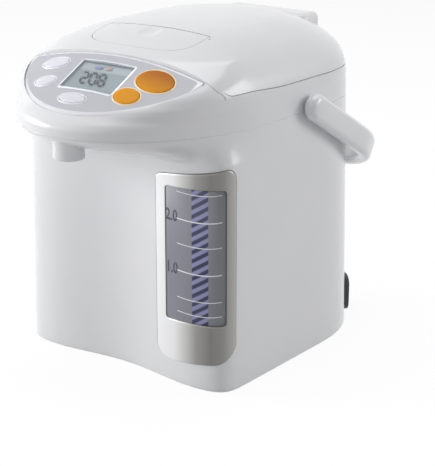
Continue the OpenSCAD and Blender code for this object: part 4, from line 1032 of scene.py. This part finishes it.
def rim_on_panel(name, outlines, material, spot=(0, panel_y), joined=True, sharp=40):
    """A raised rim on the panel through (outline, height) pairs, or a slab where it isn't joined."""
    rings = [panel_points(*spot, [(p, q, h) for p, q in outline]) for outline, h in outlines]
    return shaded(loft(name, rings, material, joined), sharp)


def grown(width, depth, radius, more):
    """A rounded rectangle, grown all round."""
    return rounded_outline(width + 2 * more, depth + 2 * more, max(radius + more, 0.1), 6, 12)


def slab_on_panel(name, width, depth, radius, levels, material, spot=(0, panel_y)):
    """A rounded slab on the panel: each level is how far it is drawn in, and its height."""
    outlines = [(grown(width, depth, radius, -inset), h) for inset, h in levels]
    return rim_on_panel(name, outlines, material, spot, joined=False, sharp=30)


glass_levels, cell_levels = [(0, -1.2), (0, 0), (0.2, 0.2)], [(0, -2.6), (0, -1.5)]
lcd_lens = slab_on_panel("lcd_lens", lcd_w - 0.6, lcd_d - 0.6, 1, glass_levels, clear_acrylic)
mount(lcd_lens, "pot", "lcd_lens")
cell_ground = new_material("liquid_crystal_ground", Base_Color="#a6b5ba", Roughness=0.35, IOR=1.5)
tree, shader, place = inside(cell_ground)
# The polariser is brushed at 0.4 mm and lighter along the strip above the figures
brushed = mottle(cell_ground, 0.4, 1)
strip = share_along(tree, place, (0, 1, 0), panel_y + 7.4, panel_y + 8.6)
tint = two_tones(cell_ground, strip, "#9fb0b6", "#c2ccd1")
fleck = {"Factor": 0.12, 6: tint, 7: brushed.outputs[1]}
feed(tree, shader, {"Base Color": add(tree, "Mix", fleck, data_type="RGBA", blend_type="MULTIPLY")})
display_cell = slab_on_panel("display_cell", lcd_w - 0.8, lcd_d - 0.8, 1, cell_levels, cell_ground)
mount(display_cell, "pot")

# Switched segments turn dark, a little uneven in depth. A matt dark band inside the rim is painted shadow,
# and the marks are printed in two thin colours
segment_ink = new_material("dark_crystal_segment", Base_Color="#27383f", Roughness=0.4, IOR=1.5)
mottle(segment_ink, 2, 1, ("#1d2a31", "#26353c"))
painted_shadow_material = new_material("grey_foam_gasket", Base_Color="#7c8b92", Roughness=0.8, IOR=1.4)
mottle(painted_shadow_material, 0.8, 2, ("#6f7e86", "#8b999f"))
mark_ink = new_material("coloured_screen_ink", Base_Color="#8c97bb", Roughness=0.5, IOR=1.5)
tree, shader, place = inside(mark_ink)
two_tones(mark_ink, share_along(tree, place, (1, 0, 0), -2, 2), "#929cc4", "#cf9c9f")
# Bars of a figure, from and to a corner, and the bars of each figure
SEGMENTS = {"a": (0, 2, 1, 2), "b": (1, 1, 1, 2), "c": (1, 0, 1, 1), "d": (0, 0, 1, 0), "e": (0, 0, 0, 1),
            "f": (0, 1, 0, 2), "g": (0, 1, 1, 1)}
FIGURES = {"2": "abged", "0": "abcdef", "8": "abcdefg"}
figure_w, figure_h, figure_slant, figure_pitch, figures_at = 6.6, 6.9, -0.42, 9.7, (-13.6, -9.4)
gap, half = 0.55, 1.0  # between two bars, and of a bar's thickness
points, faces = [], []
for n, figure in enumerate("208"):
    for bar in FIGURES[figure]:
        x0, y0, x1, y1 = SEGMENTS[bar]
        left, low = n * figure_pitch + x0 * figure_w, y0 * figure_h
        right, high = n * figure_pitch + x1 * figure_w, y1 * figure_h
        if y0 == y1:
            outline = [(left + gap, low), (left + gap + half, low + half), (right - gap - half, low + half),
                       (right - gap, low), (right - gap - half, low - half), (left + gap + half, low - half)]
        else:
            outline = [(left, low + gap), (left + half, low + gap + half), (left + half, high - gap - half),
                       (left, high - gap), (left - half, high - gap - half), (left - half, low + gap + half)]
        start = len(points)
        for h in (-1.52, -1.45):
            points += panel_points(0, panel_y, [(figures_at[0] + x + figure_slant * y, figures_at[1] + y, h)
                                                for x, y in outline])
        faces += [tuple(range(start, start + 6)), tuple(range(start + 6, start + 12))]
        faces += [(start + i, start + (i + 1) % 6, start + 6 + (i + 1) % 6, start + 6 + i) for i in range(6)]
display_figures = shaded(solid("display_figures", points, faces, segment_ink), 50)
mount(display_figures, "pot")

# A dark band inside the rim is painted shadow, widest behind and on the left, and two coloured marks stand
# above
inner_shadow_loops = []
for inset, h, shift in ((0.3, -1.5, 0), (0.3, -1.3, 0), (1.6, -1.3, 0.4), (1.6, -1.5, 0.4)):
    outline = rounded_outline(lcd_w - 2 * inset, lcd_d - 2 * inset, 0.6, 6, 12)
    inner_shadow_loops.append(([(x - shift, y + shift) for x, y in outline], h))
mount(rim_on_panel("display_gasket", inner_shadow_loops, painted_shadow_material), "pot")
mark_levels, marks_y = [(0, -1.55), (0, -1.45)], panel_y + 10.6
for k, (x, w) in enumerate(((-8.0, 8.0), (3.5, 5.0))):
    mark = slab_on_panel(f"display_mark_{k + 1}", w, 3.4, 1.2, mark_levels, mark_ink, (x, marks_y))
    mount(mark, "pot")

# Satin plating over plastic is pale and soft in its gloss, with brush marks
plated_rim = new_material("satin_plated_rim", Base_Color="#e4e6ee", Metallic=0.3, Roughness=0.3)
mottle(plated_rim, 0.5, 2, gloss=(0.24, 0.4))
rim = [(grown(lcd_w, lcd_d, 1.2, more), h)
       for more, h in ((0.05, -1.5), (0.05, 0.3), (0.35, 0.5), (1.3, 0.5), (1.9, 0.05), (1.9, -0.2))]
mount(rim_on_panel("display_rim", rim, plated_rim), "pot")

# ---- Buttons --------------------------------------------------------------------------------
# Two amber and three pale buttons are moulded of translucent polycarbonate, a little domed, and sink
# on the switches of the board. A pale ring round each keeps spills out of its gap.
amber = new_material("amber_polycarbonate", Base_Color="#e08a22", Roughness=0.5, IOR=1.3,
                     Subsurface_Weight=0.06, Subsurface_Scale=1 * MM)
# The tint darkens from front to rear across the rear amber button
tree, shader, place = inside(amber)
along = share_along(tree, place, (0, 1, 0), panel_y - 4, panel_y + 17)
two_tones(amber, add(tree, "Mix", {"Factor": 0.12, 2: along, 3: mottle(amber, 6, 2)}), "#eea11f", "#b26310")
# The pale buttons and the rings are milky, let light in and are faintly cloudy
pale = new_material("pale_lavender_polycarbonate", Base_Color="#e6e6f0", Roughness=0.26, IOR=1.58,
                    Subsurface_Weight=0.1, Subsurface_Scale=1 * MM, Coat_Weight=0.2)
mottle(pale, 6, 2, ("#dfdfea", "#eeeef5"))
ring_plastic = new_material("milky_ring_plastic", Base_Color="#efe6e4", Roughness=0.3, IOR=1.5,
                            Coat_Weight=0.2)
# Painted glow: the rings of the amber buttons are tinted warm, as if lit through the amber
tree, shader, place = inside(ring_plastic)
cool = mottle(ring_plastic, 4, 2, ("#e9e9f0", "#f1f1f6"))
two_tones(ring_plastic, share_along(tree, place, (1, 0, 0), 20, 30), cool, "#ffe3b4")
# From the skirt under the panel up over the dome: how far each level is drawn in, and its height
button_levels = [(-0.7, -3.4), (-0.7, -2.4), (0, -2.3), (0, 0.35), (0.15, 0.6), (0.5, 0.78), (2, 0.95),
                 (4, 1.05)]
ring_levels = [(0.45, -1.0), (0.45, 0.25), (0.65, 0.45), (1.6, 0.4), (2.0, 0.02), (2.0, -0.3)]
stem_r, stem_low, stem_high = 2.5, -9, -3
for name, (x, y, a, b) in buttons.items():
    plastic, slot = (amber, "orange_button") if name in ("dispense", "unlock") else (pale, "pale_button")
    spot = (x, panel_y + y)
    shape = [(oval(a - inset, b - inset), h) for inset, h in button_levels]
    button = rim_on_panel(name + "_button", shape, plastic, spot, joined=False, sharp=35)
    carve(button, moved(prism(circle(stem_r, 24), stem_low, stem_high), on_panel(*spot)), how="UNION")
    mount(shaded(button, 35), "temperature" if name == "temp" else name, name + "_button")
    ring = [(oval(a + more, b + more), h) for more, h in ring_levels]
    mount(rim_on_panel(name + "_ring", ring, ring_plastic, spot), "pot")

# ---- Handle ---------------------------------------------------------------------------------
# The bail is one moulding of white ABS, an open U of a flat section with round edges, that turns on
# steel pins in the casing's sides and rests on stops behind the body.
handle_droop, strap_w, strap_t, handle_reach, handle_gap = math.radians(30), 24.0, 13.0, 152.5, 1.1
strap_tree = t = bpy.data.node_groups.new("Strap", "GeometryNodeTree")
given, out = interface(t, Path="Geometry", Bend_Radius="Float", Width="Float",
                       Thickness="Float", Edge_Radius="Float", Material="Material")
path = add(strap_tree, "MeshToCurve", {"Mesh": given["Path"]})
path = add(t, "MeshToCurve", {"Mesh": given["Path"]})
path = add(t, "FilletCurve", {"Curve": path, "Count": 28, "Radius": given["Bend Radius"]}, mode="POLY")
section = add(t, "CurvePrimitiveQuadrilateral", {"Width": given["Thickness"], "Height": given["Width"]})
section = add(t, "FilletCurve", {"Curve": section, "Count": 7, "Radius": given["Edge Radius"]}, mode="POLY")
end_tree(t, add(t, "CurveToMesh", {"Curve": path, "Profile Curve": section, "Fill Caps": True}), given, out)
arm_x, edge, bail_r = rim_hw + handle_gap + strap_t / 2, 5.6, 65
path = bpy.data.meshes.new("handle")
corners = [(-arm_x, 0), (-arm_x, handle_reach), (arm_x, handle_reach), (arm_x, 0)]
path.from_pydata([(x * MM, y * MM, 0) for x, y in corners], [(0, 1), (1, 2), (2, 3)], [])
handle = closed(from_tree("handle", strap_tree, path, Bend_Radius=(bail_r + strap_t / 2) * MM,
                          Width=strap_w * MM, Thickness=strap_t * MM, Edge_Radius=edge * MM,
                          Material=abs_white))
for side in (-1, 1):
    disc = [(strap_w / 2 - edge * (1 - math.sin(a)), -strap_t / 2 + edge * (1 - math.cos(a)))
            for a in np.radians((0, 18, 36, 54, 72, 90))]
    disc += [(r, -h) for r, h in reversed(disc)]
    rings = [[(side * arm_x + h, r * math.cos(t), r * math.sin(t)) for t in np.radians(np.arange(0, 360, 5))]
             for r, h in disc]
    carve(handle, loft("tool", rings), how="UNION")
    bore = prism(circle(pivot_d / 2 + 0.05), rim_hw, rim_hw + handle_gap + 9)
    carve(handle, moved(bore, Matrix.Rotation(side * math.pi / 2, 4, "Y")))
turned = Matrix.Translation((0, pivot_y, pivot_z)) @ Matrix.Rotation(-handle_droop, 4, "X")
shaded(moved(handle, turned), 40, abs_white)
mount(handle, "handle", "handle")
finish(zinc, "handle_pins", "hinge_pin")

# ---- Lid ------------------------------------------------------------------------------------
# The lid's outer moulding carries on the crown's curve behind the panel, and its knuckles turn on the
# hinge pin. A drawn steel plate closes it from below, screwed to four posts.
lid_wall, lever_w, lever_d, lever_rear, lever_gap, lever_sweep = 2.2, 112.0, 40.0, -62.0, 0.4, 0.85
barrel_w, rod_y, rod_z, rod_d = 128.0, -66.0, top_z - 9.2, 3.0
lid_posts, post_r, past_rear = [(-82, -78), (82, -78), (-80, 62), (80, 62)], 4, 160
pin_hole_r, pin_hole_half, rod_half, lever_t, pocket_t = 2.55, 60, 59.5, 3.5, 10
top_rows = crown_part(12, 18)


def lever_prism(grow, rear):
    """The lever's half oval seen from above, grown, and drawn back behind its straight rear edge."""
    a, b = lever_w / 2 + grow, lever_d + grow
    front = []
    for t in np.linspace(0, 1, 121):
        t = math.pi * (t - 0.06 * math.sin(4 * math.pi * t))
        cosine, sine = math.cos(t), math.sin(t)
        across = -a * math.copysign(math.sqrt(abs(cosine)), cosine)
        front.append((across, lever_rear - b * math.sqrt(abs(sine))))
    front += [(a, lever_rear + rear + 0.01), (-a, lever_rear + rear + 0.01)]
    return prism(front, crown_at[12] + 1, crown_at[12] + 61)


def hinge_room():
    """Where the lid leaves room for the bracket's ears, and for the deck as it swings."""
    ear_room = ear_half + 0.3
    rooms = [block((x - ear_room, axis_y - knuckle_r - lid_gap, lid_z - 1),
                   (x + ear_room, past_rear, axis_z + knuckle_r)) for x in (-ear_x, ear_x)]
    sweep = block((-past_side, axis_y, lid_z - 1), (past_side, past_rear, axis_z))
    return rooms + [carve(sweep, along_x(knuckle_r, -past_rear, past_rear, axis_y, axis_z, 48))]


lid_rows = crown_part(5, 18)
lid_outer = casing("lid_outer", lid_rows)
carve(lid_outer, lid_zone(0, 0), how="INTERSECT")
hollow = casing("tool", inset_rows(lid_rows, lid_wall), 90)
carve(hollow, lid_zone(-lid_wall, 1), how="INTERSECT")
# The lever's pocket has a floor, the knuckles are full, and posts take the screws
pocket_box = lever_prism(lever_gap + 2, 6)
carve(pocket_box, casing("tool", inset_rows(top_rows, pocket_t + 2), 90))
carve(hollow, pocket_box, along_x(knuckle_r, -barrel_w / 2, barrel_w / 2, axis_y, axis_z),
      block((-barrel_w / 2, axis_y, axis_z - knuckle_r), (barrel_w / 2, axis_y + 20, axis_z + knuckle_r)),
      *[prism(circle(post_r, 24, spot), lid_z + 2, lid_z + 62) for spot in lid_posts])
pocket = lever_prism(lever_gap, 2 * lever_sweep)
carve(pocket, casing("tool", inset_rows(top_rows, pocket_t), 90))
# Then the pin's hole, the hinge's room, the rod's hole, and the slots of the rocker and the latch
carve(lid_outer, hollow, pocket, along_x(pin_hole_r, -pin_hole_half, pin_hole_half, axis_y, axis_z),
      *hinge_room(), along_x(rod_d / 2 + 0.05, -rod_half, rod_half, rod_y, rod_z, 24),
      block((-5.5, rod_y - 14, lid_z + 10), (5.5, rod_y + 6, rod_z - 2.5)),
      block((-latch_w / 2 - 0.3, panel_rear - 14, latch_z - 0.3),
            (latch_w / 2 + 0.3, panel_rear + 16, latch_z + latch_t + 0.3)))
shaded(lid_outer, material=abs_white)
mount(lid_outer, "lid", "lid_outer")
finish(polypropylene, "steam_valve", "rocker_stand", "latch_guides", "latch_hook")
finish(zinc, "valve_ball", "lever_pin", "rocker_pin", "latch_rocker", "latch_spring")
screws("lid_screws", "lid", lid_posts, lid_z, (5.4, 1.2), (2.5, 10))

# ---- Lid lever ------------------------------------------------------------------------------
# A half-oval plate with a finger scoop lies in its pocket, flush with the lid, and tips on a steel rod.
# Its finger works the latch. It is moulded of the same white ABS.
lid_lever = casing("lid_lever", top_rows)
carve(lid_lever, lever_prism(0, 0), how="INTERSECT")
scoop_r, scoop_y, scoop_z, eye_r, eye_w = 60, lever_rear - 0.62 * lever_d, top_z + 51, 3, 6
scoop = [(scoop_r * math.sin(a), -scoop_r * math.cos(a)) for a in np.radians(np.linspace(0.5, 60, 70))]
rings = [[(r * math.cos(t), scoop_y + r * math.sin(t), scoop_z + h) for t in np.radians(np.arange(0, 360, 4))]
         for r, h in scoop]
carve(lid_lever, casing("tool", inset_rows(top_rows, lever_t), 90), loft("tool", rings))
eyes = [along_x(eye_r, x, x + eye_w, rod_y, rod_z) for x in (-46, 40)]
finger = block((-4, rod_y - 2, rod_z - 12), (4, rod_y + 2, rod_z + 2.5))
carve(lid_lever, *eyes, finger, how="UNION")
carve(lid_lever, along_x(rod_d / 2 + 0.05, -100, 100, rod_y, rod_z, 24))
shaded(lid_lever, material=abs_white)
mount(lid_lever, "lever", "lid_lever")

# ---- Hinge cover ----------------------------------------------------------------------------
# A soft-edged box at the lid's rear hides the knuckles. It is moulded on its own of the white ABS, hollow
# below, and glued down on the lid.
cover_w, cover_y0, cover_y1, cover_top = 100.0, 88.0, 118.0, top_z - 9
cover_low, cover_mid = crown_at[7] + 1, (cover_y0 + cover_y1) / 2
round_r = 6.0
levels = [(0, cover_low)] + [(round_r * (1 - math.cos(a)), cover_top - round_r * (1 - math.sin(a)))
                             for a in np.radians(np.arange(0, 91, 15))]
rings = []
for inset, z in levels:
    outline = rounded_outline(cover_w - 2 * inset, cover_y1 - cover_y0 - 2 * inset, 7 - inset, 10, 14)
    rings.append([(x, cover_mid + y, z) for x, y in outline])
hinge_cover = loft("hinge_cover", rings, abs_white)
carve(hinge_cover, casing("tool", crown_part(7, 16)))
room_outline = rounded_outline(cover_w - 2 * wall, cover_y1 - cover_y0 - 2 * wall, 5, 8, 12)
room_outline = [(x, cover_mid + y) for x, y in room_outline]
carve(hinge_cover, prism(room_outline, cover_low - 1, cover_top - wall), *hinge_room())
shaded(hinge_cover, 40, abs_white)
mount(hinge_cover, "lid", "hinge_cover")

# ---- Studio ---------------------------------------------------------------------------------
# A white floor that runs on to a white background, soft boxes above, left, in front and behind on the
# right, and an even pale surrounding.
floor_white = bpy.data.materials.new("studio_floor")
world = bpy.data.worlds.new("studio")
bpy.context.scene.world = world
for owner in (floor_white, world):
    owner.use_nodes = True
    tree = owner.node_tree
    tree.nodes.clear()
    rays = add(tree, "LightPath").outputs
    seen = add(tree, "Math", [rays["Is Camera Ray"], rays["Is Glossy Ray"]], operation="MAXIMUM")
    seen = add(tree, "Math", [seen, rays["Is Transmission Ray"]], operation="MAXIMUM")
    if owner == floor_white:
        matt = add(tree, "BsdfDiffuse", {"Color": "#d2d2d2"})
        glow = add(tree, "Emission", {"Color": (1, 1, 1, 1), "Strength": 1.12})
        share = add(tree, "Math", [seen, 0.8], operation="MULTIPLY")
        add(tree, "OutputMaterial", {"Surface": add(tree, "MixShader", [share, matt, glow])})
    else:
        soft = add(tree, "Background", {"Color": (0.98, 0.98, 1.0, 1), "Strength": 0.207})
        white = add(tree, "Background", {"Color": (1, 1, 1, 1), "Strength": 1.0})
        add(tree, "OutputWorld", {"Surface": add(tree, "MixShader", [seen, soft, white])})
corners = [(-9000, -9000, 0), (9000, -9000, 0), (9000, 9000, 0), (-9000, 9000, 0)]
floor = solid("studio_floor", corners, [(0, 1, 2, 3)], floor_white)
floor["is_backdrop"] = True
for name, at, size, power in (
        ("left_box", (-1.9, -1.0, 0.7), 1.2, 33), ("top_box", (-0.2, 0.3, 2.2), 1.6, 18.4),
        ("rear_box", (1.9, 1.3, 0.9), 1.2, 19.7), ("front_box", (-0.5, -2.4, 0.8), 2.4, 15)):
    lamp = placed(name, bpy.data.lights.new(name, "AREA"))
    lamp.data.size, lamp.data.energy, lamp.location = size, power, at
    lamp.rotation_euler = (Vector((0, 0, 0.16)) - Vector(at)).to_track_quat("-Z", "Y").to_euler()
bpy.context.scene.view_settings.view_transform = "Standard"

low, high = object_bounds()
